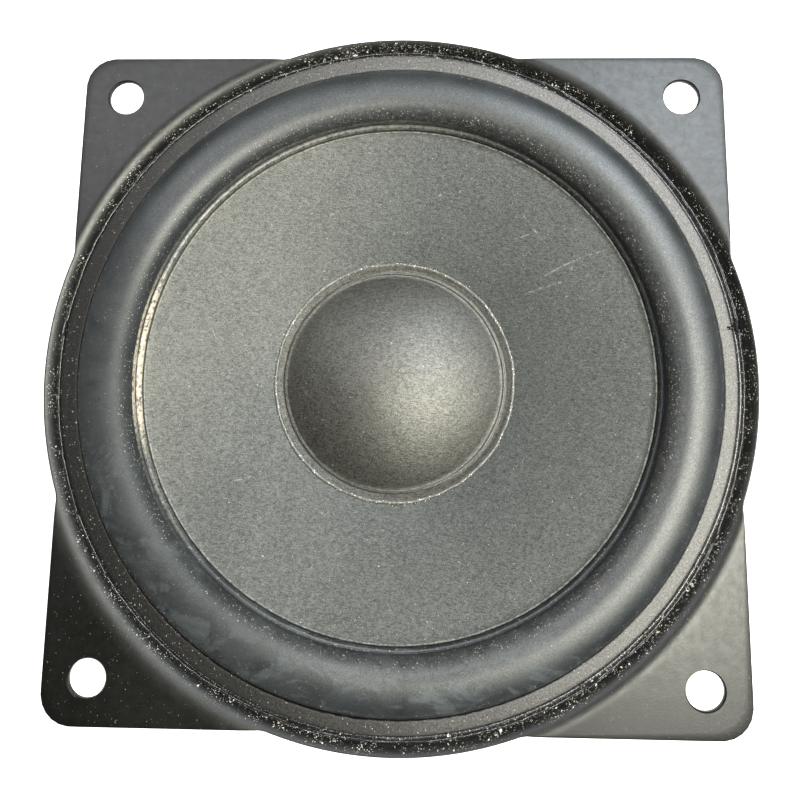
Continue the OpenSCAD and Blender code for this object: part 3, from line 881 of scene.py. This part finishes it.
def basket():
    """The shell with its tab for the terminals, less the windows, bolt holes and side vents."""
    shell = basket_shell()
    out, high = -48.2, LEDGE + 2
    tab = rounded([(-43.2, high, 0), (out, high, 2), (out, -32, 0)])
    tab = prism(sheet_loop(tab, SHEET), sideways, -8, 8)
    boolean(shell, make_object("tab", *tab, PAINT), "UNION")
    soft, past = 0.25, 1.75
    half = [(HOLE_RADIUS + 2, past), (HOLE_RADIUS + soft, 0), (HOLE_RADIUS, -soft)]
    hole = half + [(r, -SHEET - z) for r, z in half[::-1]]
    cutters = [window_cutter(q) for q in range(4)]
    for sx in (-1, 1):
        for sy in (-1, 1):
            x0, y0 = sx * HOLE_HALF_SPACING, sy * HOLE_HALF_SPACING
            cutters.append(round_cutter(hole, lambda x, y, d: (x + x0, y + y0, d)))
    vent = [(SIDE_VENT_RADIUS, 30), (SIDE_VENT_RADIUS, 42)]
    vent_z = (FLOOR_TOP + LEDGE - SHEET) / 2
    for turn in (90 * q + side for q in range(4) for side in (-20, 20)):
        c, s = cos(radians(turn)), sin(radians(turn))
        cutters.append(round_cutter(
            vent, lambda x, y, d: (d * c - x * s, d * s + x * c, vent_z + y)))
    boolean(shell, make_object("cutter", *joined(cutters), PAINT), "DIFFERENCE")
    shade(shell, 40)
    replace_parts(shell, "basket")
    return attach(shell, "basket")


# ---------------------------------------------------------------- gasket and surround

ROLL_RADIUS = 57.2
ROLL_HALF_WIDTH = 5.5
ROLL_HEIGHT = 4.6
FLANGE_TOP = SEAT + RUBBER
LIP_FOOT = 51.08
SURROUND_EDGE = 65.85
GASKET_MIDDLE = 64.2
GUTTER_RADIUS = 66
GLUE_BED = -2.35
GLUE_FOOT = -2.9


def gasket_ring():
    outline = rounded([
        (GASKET_INNER, FLANGE_TOP, 0.1),
        (GASKET_OUTER, FLANGE_TOP, 0.1),
        (GASKET_OUTER, GASKET_TOP, 0.25),
        (GASKET_INNER, GASKET_TOP, 0.2),
    ], closed=True, steps=3)

    def ragged(r, z, angle, k):
        edge = 0.07 * ring_noise(angle, GUTTER_RADIUS, 2.5, 4.0 if r > GASKET_MIDDLE else 9.0)
        if r > GASKET_MIDDLE:
            drift = -0.4 * cos(angle + 0.17)
        else:
            torn = crowd(angle, ((262, 32, 1.0),))
            drift = torn * (0.22 + 0.2 * ring_noise(angle, GUTTER_RADIUS, 1.6, 12.0))
        return r + edge + drift * min(1.0, abs(r - GASKET_MIDDLE)), z

    ring = lathe("gasket", densify(outline, 0.6, closed=True), GASKET, segments=540, shape=ragged)
    roughen(ring, 0.03, 0.9, 3.0)
    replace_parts(ring, "gasket_ring")
    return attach(ring, "basket")


def gasket_glue():
    """Adhesive outside the gasket: a ridge at its edge, a dip, and a thin line by the wall."""
    section = [(65.5, GLUE_FOOT), (67.0, GLUE_FOOT), (67.5, GLUE_BED), (67.42, -2.1),
               (67.22, -2.16), (67.08, -1.95), (66.9, -1.86), (66.76, -2.0), (66.66, -2.3),
               (66.3, -2.45), (66.0, -2.3), (65.75, -1.9), (65.5, -1.8)]

    def uneven(r, z, angle, k):
        slow = ring_noise(angle, GUTTER_RADIUS, 9.0, 2.0)
        fast = ring_noise(angle, GUTTER_RADIUS, 1.5, 7.0)
        drift = 0.22 * ring_noise(angle, GUTTER_RADIUS, 30.0, 5.0)
        share = clamp((r - 66.2) / 0.6) * max(0.0, z - GLUE_FOOT)
        knot = share * crowd(angle, ((8.8, 0.9, 0.9),))
        out, up = share * (drift + 0.08 * fast), share * (0.3 * slow + 0.16 * fast)
        return r + out - 0.7 * knot, z + up + knot

    line = lathe("gasket_adhesive", densify(section, 0.2, closed=True), BLACK_GLUE,
                 segments=900, shape=uneven, sharp=80)
    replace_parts(line, "gasket_glue")
    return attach(line, "basket")


def surround_path():
    """The front face of the surround, from the flange inwards."""
    outer = ROLL_RADIUS + ROLL_HALF_WIDTH
    roll = []
    steps = 40
    for k in range(steps + 1):
        angle = pi * k / steps
        outside = k < steps / 2
        wide, crown = (ROLL_HALF_WIDTH + 0.08, 0.65) if outside else (ROLL_HALF_WIDTH, 0.85)
        roll.append((ROLL_RADIUS + wide * cos(angle),
                     FLANGE_TOP + 0.25 + ROLL_HEIGHT * sin(angle) ** crown))
    path = [(SURROUND_EDGE, FLANGE_TOP), (outer + 0.35, FLANGE_TOP),
            (outer + 0.08, FLANGE_TOP + 0.08)]
    path += roll[1:-3]
    path += rounded([
        roll[-3] + (0,),
        (52.05, cone_z(52.0) + 0.3, 0.15),
        (51.78, cone_z(51.8) + 0.62, 0.14),
        (51.36, cone_z(51.4) + 0.5, 0.3),
        (LIP_FOOT + 0.04, cone_z(LIP_FOOT) + 0.2, 0.1),
        (LIP_FOOT, cone_z(LIP_FOOT) + 0.05, 0),
    ], steps=4)
    return path


def surround():
    front = surround_path()
    under = [(SURROUND_EDGE, SEAT), (ROLL_RADIUS + ROLL_HALF_WIDTH - 0.4, SEAT)]
    for k in range(1, 20):
        angle = pi * k / 20
        lean = (ROLL_HALF_WIDTH - RUBBER) * cos(angle)
        under.append((ROLL_RADIUS + lean, FLANGE_TOP - 0.3 + (ROLL_HEIGHT + 0.05) * sin(angle)))
    under += [(52.1, cone_z(52.1) + 0.02), (LIP_FOOT + 0.05, cone_z(LIP_FOOT) + 0.02)]
    outline = front + under[::-1]

    def uneven(r, z, angle, k):
        if r < 52.2:
            wave = 0.07 * ring_noise(angle, CONE_RADIUS, 7.0, 6.0)
            wave += 0.05 * ring_noise(angle, CONE_RADIUS, 1.2, 8.0)
            return r + wave, z + 0.4 * wave
        sway = 0.1 * ring_noise(angle, 57, 30.0, 3.0)
        return r, z + sway * clamp((z - FLANGE_TOP) / ROLL_HEIGHT)

    skin = lathe("surround_roll", outline, RUBBER_SKIN, segments=540, shape=uneven, sharp=50)
    radial_blend(skin)
    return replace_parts(skin, "surround")


def radial_blend(obj):
    """Bakes the object's placement into its mesh.
    """
    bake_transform(obj)


# ---------------------------------------------------------------- cone and dust cap

EDGE_LINE = 50.66
CONE_NECK = 16.35
CONE_TUCK = 52.0
BEAD_RADIUS = 24.4
CAP_SHIFT = (-1.0, -0.5)


def cone():
    """The paper cone, with the soft raised line where its edge was pressed."""
    rises = ((CONE_TUCK, 0), (51.3, 0), (51.12, 0), (50.98, -0.3), (50.86, -0.05), (50.76, 0.1),
             (EDGE_LINE, 0.14), (50.52, 0.08), (50.35, 0))
    outline = [(r, cone_z(r) + rise) for r, rise in rises]
    outline += [(r, cone_z(r)) for r in np.linspace(49.5, CONE_NECK, 34)]
    drop = PAPER / cos(atan(CONE_RISE))
    outline += [(r, cone_z(r) - drop) for r in np.linspace(CONE_NECK, CONE_TUCK, 20)]

    def fuzzy(r, z, angle, k):
        if EDGE_LINE - 0.36 < r < CONE_RADIUS + 0.05:
            r += 0.07 * ring_noise(angle, CONE_RADIUS, 1.4, 3.0)
            z += 0.05 * ring_noise(angle, CONE_RADIUS, 0.8, 9.0)
        return r, z

    paper = lathe("cone_paper", outline, CONE_PAPER, segments=720, shape=fuzzy, sharp=50)
    roughen(paper, 0.05, 6.0, 1.0)
    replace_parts(paper, "cone")
    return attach(paper, "cone")


def dome_points(base, height, rise, steps):
    """Points of a dome from its rim, at a radius and height, up to near the axis."""
    ball = (base * base + rise * rise) / (2 * rise)
    half = asin(base / ball)
    points = []
    for k in range(steps):
        t = half * (1 - k / steps)
        points.append((ball * sin(t), height + rise - ball + ball * cos(t)))
    return points


def off_centre(obj):
    """Slides the cap or its glue sideways, tilting it so that its edge still follows the cone."""
    for v in obj.data.vertices:
        v.co.z += CONE_RISE * (CAP_SHIFT[0] * v.co.x + CAP_SHIFT[1] * v.co.y) / CAP_FLANGE_RADIUS
        v.co.x += CAP_SHIFT[0] * MM
        v.co.y += CAP_SHIFT[1] * MM


def dust_cap():
    """Dome with a thin raised rim, a narrow groove and a sloping flange on the cone."""
    rim_z = cone_z(CAP_DOME_RADIUS) + 0.55
    foot, rise = cone_z(CAP_FLANGE_RADIUS), CAP_DOME_HEIGHT - 0.6
    flange = [
        (CAP_FLANGE_RADIUS, foot + 0.05, 0),
        (CAP_FLANGE_RADIUS, foot + 0.5, 0.15),
        (23.0, cone_z(23.0) + 0.25, 0.2),
        (22.75, cone_z(22.75) + 0.3, 0.1),
        (22.7, rim_z + 0.28, 0.12),
        (22.38, rim_z + 0.3, 0.12),
        (22.2, rim_z + 0.1, 0),
    ]
    outline = rounded(flange, steps=4) + dome_points(22.0, rim_z + 0.1, rise, 30)
    outline += [(0.0, rim_z + CAP_DOME_HEIGHT - 0.5), (0.0, rim_z + CAP_DOME_HEIGHT - 0.5 - PAPER)]
    outline += dome_points(21.5, rim_z - 0.5, rise, 12)[::-1]
    outline += [(21.8, cone_z(21.8) + 0.03)]

    def uneven(r, z, angle, k):
        return r + (0.05 * ring_noise(angle, 24, 6.0, 2.0) if r > 21 else 0.0), z

    cap = lathe("dust_cap_dome", outline, CAP_PAPER, segments=SEGMENTS, shape=uneven, sharp=50)
    roughen(cap, 0.03, 4.0, 5.0)
    off_centre(cap)
    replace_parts(cap, "dust_cap")
    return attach(cap, "cone")


def dust_cap_glue():
    """A thin uneven bead along the cap's edge, in runs and small lumps."""
    sides = 10

    def lumpy(r, z, angle, k):
        runs = ring_noise(angle, BEAD_RADIUS, 5.0, 1.0)
        lumps = ring_noise(angle, BEAD_RADIUS, 0.9, 3.0)
        size = max(0.1, 0.33 + 0.16 * runs + 0.14 * lumps)
        t = tau * k / sides
        middle = CAP_FLANGE_RADIUS + 0.12 + 0.14 * ring_noise(angle, BEAD_RADIUS, 3.0, 8.0)
        return middle + size * cos(t), cone_z(middle) + 0.22 + 0.8 * size * sin(t)

    # the outline only gives the number of points round the bead
    ring = lathe("dust_cap_adhesive", [(BEAD_RADIUS, -10)] * sides, CLEAR_GLUE, segments=900,
                 shape=lumpy, sharp=80)
    off_centre(ring)
    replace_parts(ring, "dust_cap_glue")
    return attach(ring, "cone")


# ---------------------------------------------------------------- loose grit


def crowd(angle, places):
    """How much grit has gathered in a direction, from (direction, spread, amount) in degrees."""
    total = 0.0
    for middle, spread, amount in places:
        away = (degrees(angle) - middle + 180) % 360 - 180
        total += amount * exp(-((away / spread) ** 2))
    return total


def crumbs(name, count, radii, height, places, sizes, body, material=None):
    """Small broken crumbs strewn over a ring, thicker in some directions and in patches."""
    picks = random.Random(name)
    parts = []
    while len(parts) < count:
        angle = picks.uniform(0, tau)
        patchy = max(0.15, 1.0 + 1.8 * ring_noise(angle, radii[2], 3.0, 6.0))
        if picks.random() > crowd(angle, places) * patchy:
            continue
        r = picks.triangular(*radii)
        size = sizes[0] + (sizes[1] - sizes[0]) * picks.random() ** 4
        stretch = [size * picks.uniform(0.5, 1.2) for _ in range(3)]
        stretch[picks.randrange(2)] *= picks.uniform(1.0, 2.6)
        turn = Euler([picks.uniform(0, 6.3) for _ in range(3)]).to_matrix()
        middle = Vector(polar(r, angle, height(r) + 0.25 * size))
        corners = [Vector([(i == axis) * sign * stretch[i] / 2 for i in range(3)])
                   for axis in range(3) for sign in (-1, 1)]
        corners = [tuple(middle + turn @ (c * picks.uniform(0.6, 1.25))) for c in corners]
        parts.append((corners, [(0, 2, 5), (0, 5, 3), (0, 3, 4), (0, 4, 2),
                                (1, 5, 2), (1, 3, 5), (1, 4, 3), (1, 2, 4)]))
    grit = make_object(name, *joined(parts), material or GRIT, 25)
    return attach(grit, body)


def grit():
    roll = surround_path()
    everywhere = (0, 1e6, 0.1)

    def bed(r):
        return max(height_along(RECESS, r), GLUE_BED)

    crumbs("groove_grit", 3000, (66.1, 68.9, 66.9), bed,
           (everywhere, (85, 32, 0.9), (285, 45, 0.8), (215, 25, 0.3)), (0.04, 0.42), "basket")
    crumbs("groove_clumps", 420, (66.3, 68.4, 67.0), bed,
           ((98, 5, 1), (86, 4, 0.6), (110, 3, 0.4), (318, 6, 1), (304, 3, 0.9), (328, 3, 0.7),
            (290, 8, 0.4), (256, 5, 0.4), (238, 4, 0.4), (60, 5, 0.2)), (0.15, 0.75), "basket")
    crumbs("adhesive_knot", 14, (64.3, 65.4, 64.9), lambda r: GASKET_TOP - 0.05,
           ((8.6, 0.3, 1.0),), (0.45, 0.9), "basket", BLACK_GLUE)
    crumbs("gasket_grit", 320, (62.9, 65.6, 64.5), lambda r: GASKET_TOP,
           (everywhere, (95, 40, 0.6), (240, 30, 0.9)), (0.05, 0.24), "basket")
    crumbs("valley_grit", 1300, (51.9, 54.6, 52.3), lambda r: height_along(roll, r),
           (everywhere, (70, 50, 0.9), (290, 50, 0.5)), (0.04, 0.2), "cone")
    flakes = crumbs("glue_flakes", 800, (23.9, 25.2, 24.5), lambda r: cone_z(r) + 0.15,
                    ((0, 1e6, 0.25), (110, 60, 0.7), (310, 40, 0.7)), (0.05, 0.34), "cone")
    off_centre(flakes)


# ---------------------------------------------------------------- suspension and voice coil

SPIDER_OUTER = 40.5
WAVE_OUTER = 36.5
WAVE_INNER = COLLAR_OUTER + 2.4
WAVES = 5
WAVE_HEIGHT = 1.3
CLOTH_THICKNESS = 0.4
NECK = COLLAR_OUTER + 0.1


def spider():
    z = LEDGE + CLOTH_THICKNESS
    path = [(SPIDER_OUTER, z), (38.5, z)]
    for k in range(WAVES * 16 + 1):
        share = k / (WAVES * 16)
        path.append((WAVE_OUTER - (WAVE_OUTER - WAVE_INNER) * share,
                     z + WAVE_HEIGHT * sin(tau * WAVES * share)))
    path += rounded([(NECK + 1.6, z, 0), (NECK + 0.4, z, 0.3), (NECK + 0.4, z + 1.6, 0)])[1:]
    disc = lathe("spider_cloth", sheet_loop(path, CLOTH_THICKNESS), CLOTH, sharp=60)
    radial_blend(disc)
    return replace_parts(disc, "spider")


def winding():
    """Turns of enamelled wire, one beside the other."""
    turns = 38
    wire = (WINDING_HIGH.z - WINDING_LOW.z) / turns / 2
    reach = WINDING_HIGH.x - wire
    outline = [(COLLAR_OUTER - 0.6, WINDING_HIGH.z)]
    for k in range(turns):
        middle = WINDING_HIGH.z - wire * (2 * k + 1)
        outline += [(reach + wire * cos(t), middle + wire * sin(t))
                    for t in (1.2, 0.6, 0.0, -0.6, -1.2)]
    outline += [(COLLAR_OUTER - 0.6, WINDING_LOW.z)]
    coil = lathe("winding_turns", outline, COPPER, segments=128, sharp=60)
    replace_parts(coil, "voice_coil_winding")
    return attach(coil, "cone")


# ---------------------------------------------------------------- motor


def magnet():
    low, high, r = MAGNET_LOW.z, MAGNET_HIGH.z, MAGNET_HIGH.x
    bore, cut = 23, 1.0
    outline = rounded([(bore, low, 0.3), (r - cut, low, 0.4), (r, low + cut, 0.5),
                       (r, high - cut, 0.5), (r - cut, high, 0.4), (bore, high, 0.3)],
                      closed=True, steps=3)

    def chipped(rr, z, angle, k):
        edge = min(abs(z - low), abs(z - high))
        if rr < 40 or edge > 1.4:
            return rr, z
        chip = max(0.0, ring_noise(angle, r, 2.2, 11.0 if z > (low + high) / 2 else 17.0) - 0.28)
        return rr - 1.6 * chip, z

    ring = lathe("magnet_ring", densify(outline, 1.2, closed=True), FERRITE, segments=400,
                 shape=chipped)
    roughen(ring, 0.04, 1.5, 2.0)
    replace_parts(ring, "magnet")
    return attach(ring, "basket")


def back_plate():
    top = MAGNET_LOW.z
    outline = rounded([(POLE_FOOT, MOTOR_BOTTOM, 0), (PLATE_RADIUS - 1.2, MOTOR_BOTTOM, 0.5),
                       (PLATE_RADIUS, MOTOR_BOTTOM + 1.2, 0.5), (PLATE_RADIUS, top, 0.3),
                       (POLE_FOOT, top, 0)], steps=3)
    plate = lathe("rear_plate", densify(outline, 3), ZINC, segments=256)
    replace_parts(plate, "back_plate")
    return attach(plate, "basket")


def pole_piece():
    flare = VENT_RADIUS + 2
    outline = rounded([(flare, MOTOR_BOTTOM, 0.4), (POLE_FOOT, MOTOR_BOTTOM, 0.15),
                       (POLE_FOOT, MAGNET_LOW.z, 0.1), (POLE_RADIUS, MAGNET_LOW.z, 0.1),
                       (POLE_RADIUS, POLE_TOP, 0.8), (VENT_RADIUS, POLE_TOP, 0.4),
                       (VENT_RADIUS, MOTOR_BOTTOM + 2, 0.4)], closed=True, steps=4)
    pole = lathe("centre_pole", outline, BARE_STEEL, segments=192)
    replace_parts(pole, "pole_piece")
    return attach(pole, "basket")


SCREEN_RADIUS = 4.9


def vent_screen():
    """A woven wire disc in a thin ring, inside the rear end of the vent."""
    middle = MOTOR_BOTTOM + 2.65
    pitch, wire = 0.72, 0.13
    parts = []
    for across in (False, True):
        for n in range(-6, 7):
            offset = n * pitch
            reach = sqrt(SCREEN_RADIUS**2 - offset**2)
            points = []
            for k in range(61):
                t = -reach + 2 * reach * k / 60
                lift = wire * cos(pi * (t / pitch + n + across))
                points.append((offset, t, middle + lift) if across else (t, offset, middle - lift))
            parts.append(tube(points, wire, 6))
    circle = [polar(SCREEN_RADIUS - 0.05, tau * k / 96, middle) for k in range(96)]
    parts.append(tube(circle, 0.2, 8, closed=True))
    screen = make_object("vent_mesh", *joined(parts), SCREEN, 60)
    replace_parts(screen, "vent_screen")
    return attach(screen, "basket")


# ---------------------------------------------------------------- terminals and leads

LEAD_ROUTE = (
    (11.0, -49.8, -17.3), (11.0, -49.8, -16.3), (11.0, -49.8, -15.2), (10.8, -48.4, -12.8),
    (10.2, -45.0, -11.9), (9.4, -40.0, -12.6), (8.6, -35.0, -14.2), (7.8, -30.0, -16.0),
    (7.0, -25.0, -17.3), (6.1, -21.0, -17.2), (5.4, -18.0, -16.7),
)
LEAD_STRANDS = 8
STRAND_RADIUS = 0.27
STRAND_ORBIT = 0.5
LEAD_PITCH = 5.0


def smooth_route(route, steps):
    """A smooth curve through a route's points."""
    points = [np.array(p) for p in route]
    points = [2 * points[0] - points[1]] + points + [2 * points[-1] - points[-2]]
    curve = []
    for p0, p1, p2, p3 in zip(points, points[1:], points[2:], points[3:]):
        for k in range(steps):
            t = k / steps
            curve.append(0.5 * (2 * p1 + (p2 - p0) * t + (2 * p0 - 5 * p1 + 4 * p2 - p3) * t * t
                                + (3 * p1 - p0 - 3 * p2 + p3) * t**3))
    return curve + [points[-2]]


def tinsel_lead(name, side, node):
    """Strands laid round each other along the route, crossing in and out like a braid."""
    curve = smooth_route(LEAD_ROUTE, 12)
    lengths = np.cumsum([0] + [float(np.linalg.norm(b - a)) for a, b in zip(curve, curve[1:])])
    parts = []
    for n in range(LEAD_STRANDS):
        way = 1 if n % 2 else -1
        strand = []
        for i, p in enumerate(curve):
            along = curve[min(i + 1, len(curve) - 1)] - curve[max(i - 1, 0)]
            along = along / np.linalg.norm(along)
            u = np.cross(along, (1.0, 0, 0))
            u /= np.linalg.norm(u)
            v = np.cross(along, u)
            turn = way * tau * lengths[i] / LEAD_PITCH + tau * n / LEAD_STRANDS
            orbit = STRAND_ORBIT + 0.06 * way * sin(4 * turn)
            q = p + orbit * (u * cos(turn) + v * sin(turn))
            strand.append((side * q[0], q[1], q[2]))
        parts.append(tube(strand, STRAND_RADIUS, 6))
    lead = make_object(name, *joined(parts), BRAID, 60)
    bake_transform(lead)
    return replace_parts(lead, node)


def solder_drop(name, side, node):
    """Solder wetted over the blade's upper end, round the lead."""
    low = box_mm(node)[0].z
    outline = [(0, low - 0.9), (1.3, low - 0.8), (1.62, low - 0.2), (1.5, low + 0.5),
               (1.15, low + 1.1), (0.85, low + 1.8), (0.0, low + 2.0)]
    drop = lathe(name, densify(outline, 0.3), SOLDER, segments=32, sharp=80)
    x, y, _ = LEAD_ROUTE[0]
    drop.data.transform(Matrix.Translation((side * x * MM, y * MM, 0)))
    roughen(drop, 0.12, 0.8, 4.0 + side)
    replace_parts(drop, node)
    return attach(drop, "basket")


def glue_drop(name, side, node):
    """Adhesive that holds a lead's inner end on the former."""
    low, high = box_mm(node)
    middle = (low + high) / 2
    ball = bmesh.new()
    bmesh.ops.create_icosphere(ball, subdivisions=3, radius=1.0)
    vertices = []
    for v in ball.verts:
        x, y, z = middle + v.co * Vector((2.1, 1.7, 2.0))
        push = max(1.0, (COLLAR_OUTER - 0.05) / hypot(x, y))
        vertices.append((x * push, y * push, z))
    faces = [tuple(v.index for v in f.verts) for f in ball.faces]
    ball.free()
    drop = make_object(name, vertices, faces, BLACK_GLUE, 80)
    roughen(drop, 0.15, 1.2, 6.0 + side)
    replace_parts(drop, node)
    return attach(drop, "cone")


def polarity_marks():
    """A plus and a minus on the board, as thin raised ink."""
    front, back = BOARD_FACE - 0.06, BOARD_FACE + 0.1
    x, z = 6.6, -22.3
    long, thin = 0.9, 0.2
    bars = [(-x - long, -x + long, z - thin, z + thin), (x - long, x + long, z - thin, z + thin),
            (x - thin, x + thin, z - long, z - thin), (x - thin, x + thin, z + thin, z + long)]
    parts = [block((x0, front, z0), (x1, back, z1)) for x0, x1, z0, z1 in bars]
    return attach(make_object("polarity_marks", *joined(parts), INK), "basket")


def bevelled(node, material, width):
    """A CAD node that stays, with its edges softened and a better material."""
    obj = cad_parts[node]
    obj.data.materials.clear()
    obj.data.materials.append(material)
    weld = obj.modifiers.new("weld", "WELD")
    weld.merge_threshold = 1e-6
    bevel = obj.modifiers.new("bevel", "BEVEL")
    bevel.width = width * MM
    bevel.segments = 2
    bevel.limit_method = "ANGLE"
    bevel.angle_limit = radians(40)
    return obj


# ---------------------------------------------------------------- stage


def make_floor():
    """A pale floor that gives off light, so it looks white and the part's shadow is faint."""
    s = Shader("floor", roughness=0.9, emission_color=(1, 1, 1), emission_strength=0.9)
    clouds = s.noise(0.01, 2, 0.5)
    size = 3000
    z = MOTOR_BOTTOM - 0.02
    vertices = [(-size, -size, z), (size, -size, z), (size, size, z), (-size, size, z)]
    look = s.done(base_color=s.mix(clouds, (0.6, 0.6, 0.6), (0.64, 0.64, 0.64)))
    make_object("floor", vertices, [(0, 1, 2, 3)], look)


LIGHTS = (
    # name, degrees from straight up, direction round the axis, side in metres, watts, colour
    ("main", 22, 340, 0.2, 3.9, (1.0, 0.985, 0.84)),
    ("upper_right", 34, 50, 0.2, 2.5, (0.88, 0.95, 1.0)),
    ("right", 44, 2, 0.24, 0.4, (0.95, 0.98, 1.0)),
    ("lower_right", 34, 305, 0.22, 0.3, (0.97, 0.99, 1.0)),
    ("upper_left", 36, 130, 0.24, 1.0, (0.97, 0.98, 1.0)),
)
LIGHT_DISTANCE = 0.45


def make_lights():
    for name, tilt, turn, size, power, tint in LIGHTS:
        tilt, turn = radians(tilt), radians(turn)
        place = LIGHT_DISTANCE * Vector((sin(tilt) * cos(turn),
                                         sin(tilt) * sin(turn), cos(tilt)))
        data = bpy.data.lights.new(name, "AREA")
        data.shape = "SQUARE"
        data.size = size
        data.energy = power
        data.color = tint
        lamp = bpy.data.objects.new(name, data)
        lamp.location = place
        lamp.rotation_euler = (-place).to_track_quat("-Z", "Y").to_euler()
        bpy.context.scene.collection.objects.link(lamp)
    world = bpy.data.worlds.new("studio")
    world.use_nodes = True
    background = world.node_tree.nodes["Background"]
    background.inputs["Color"].default_value = (0.9, 0.95, 1.0, 1)
    background.inputs["Strength"].default_value = 0.012
    bpy.context.scene.world = world


# ---------------------------------------------------------------- build

make_camera()
basket()
gasket_ring()
gasket_glue()
surround()
cone()
dust_cap()
dust_cap_glue()
grit()
spider()
winding()
magnet()
back_plate()
pole_piece()
vent_screen()
for side, word in ((1, "positive"), (-1, "negative")):
    tinsel_lead(f"tinsel_lead_{word}", side, f"lead_{word}")
    solder_drop(f"solder_drop_{word}", side, f"solder_{word}")
    glue_drop(f"lead_drop_{word}", side, f"lead_anchor_{word}")
    bevelled(f"terminal_{word}", TIN, 0.12)
    bevelled(f"coil_lead_{word}", COPPER, 0.05)
polarity_marks()
for node, material, width in (
    ("top_plate", ZINC, 0.25),
    ("terminal_board", BOARD, 0.15),
    ("top_plate_rivets", RIVET_METAL, 0.3),
    ("board_rivets", RIVET_METAL, 0.25),
    ("terminal_rivets", RIVET_METAL, 0.25),
    ("voice_coil_former", FILM, 0.05),
    ("former_collar", KRAFT, 0.05),
    ("cone_neck_glue", BLACK_GLUE, 0.1),
    ("spider_neck_glue", BLACK_GLUE, 0.1),
):
    bevelled(node, material, width)
make_floor()
make_lights()
bpy.context.scene.view_settings.view_transform = "Standard"
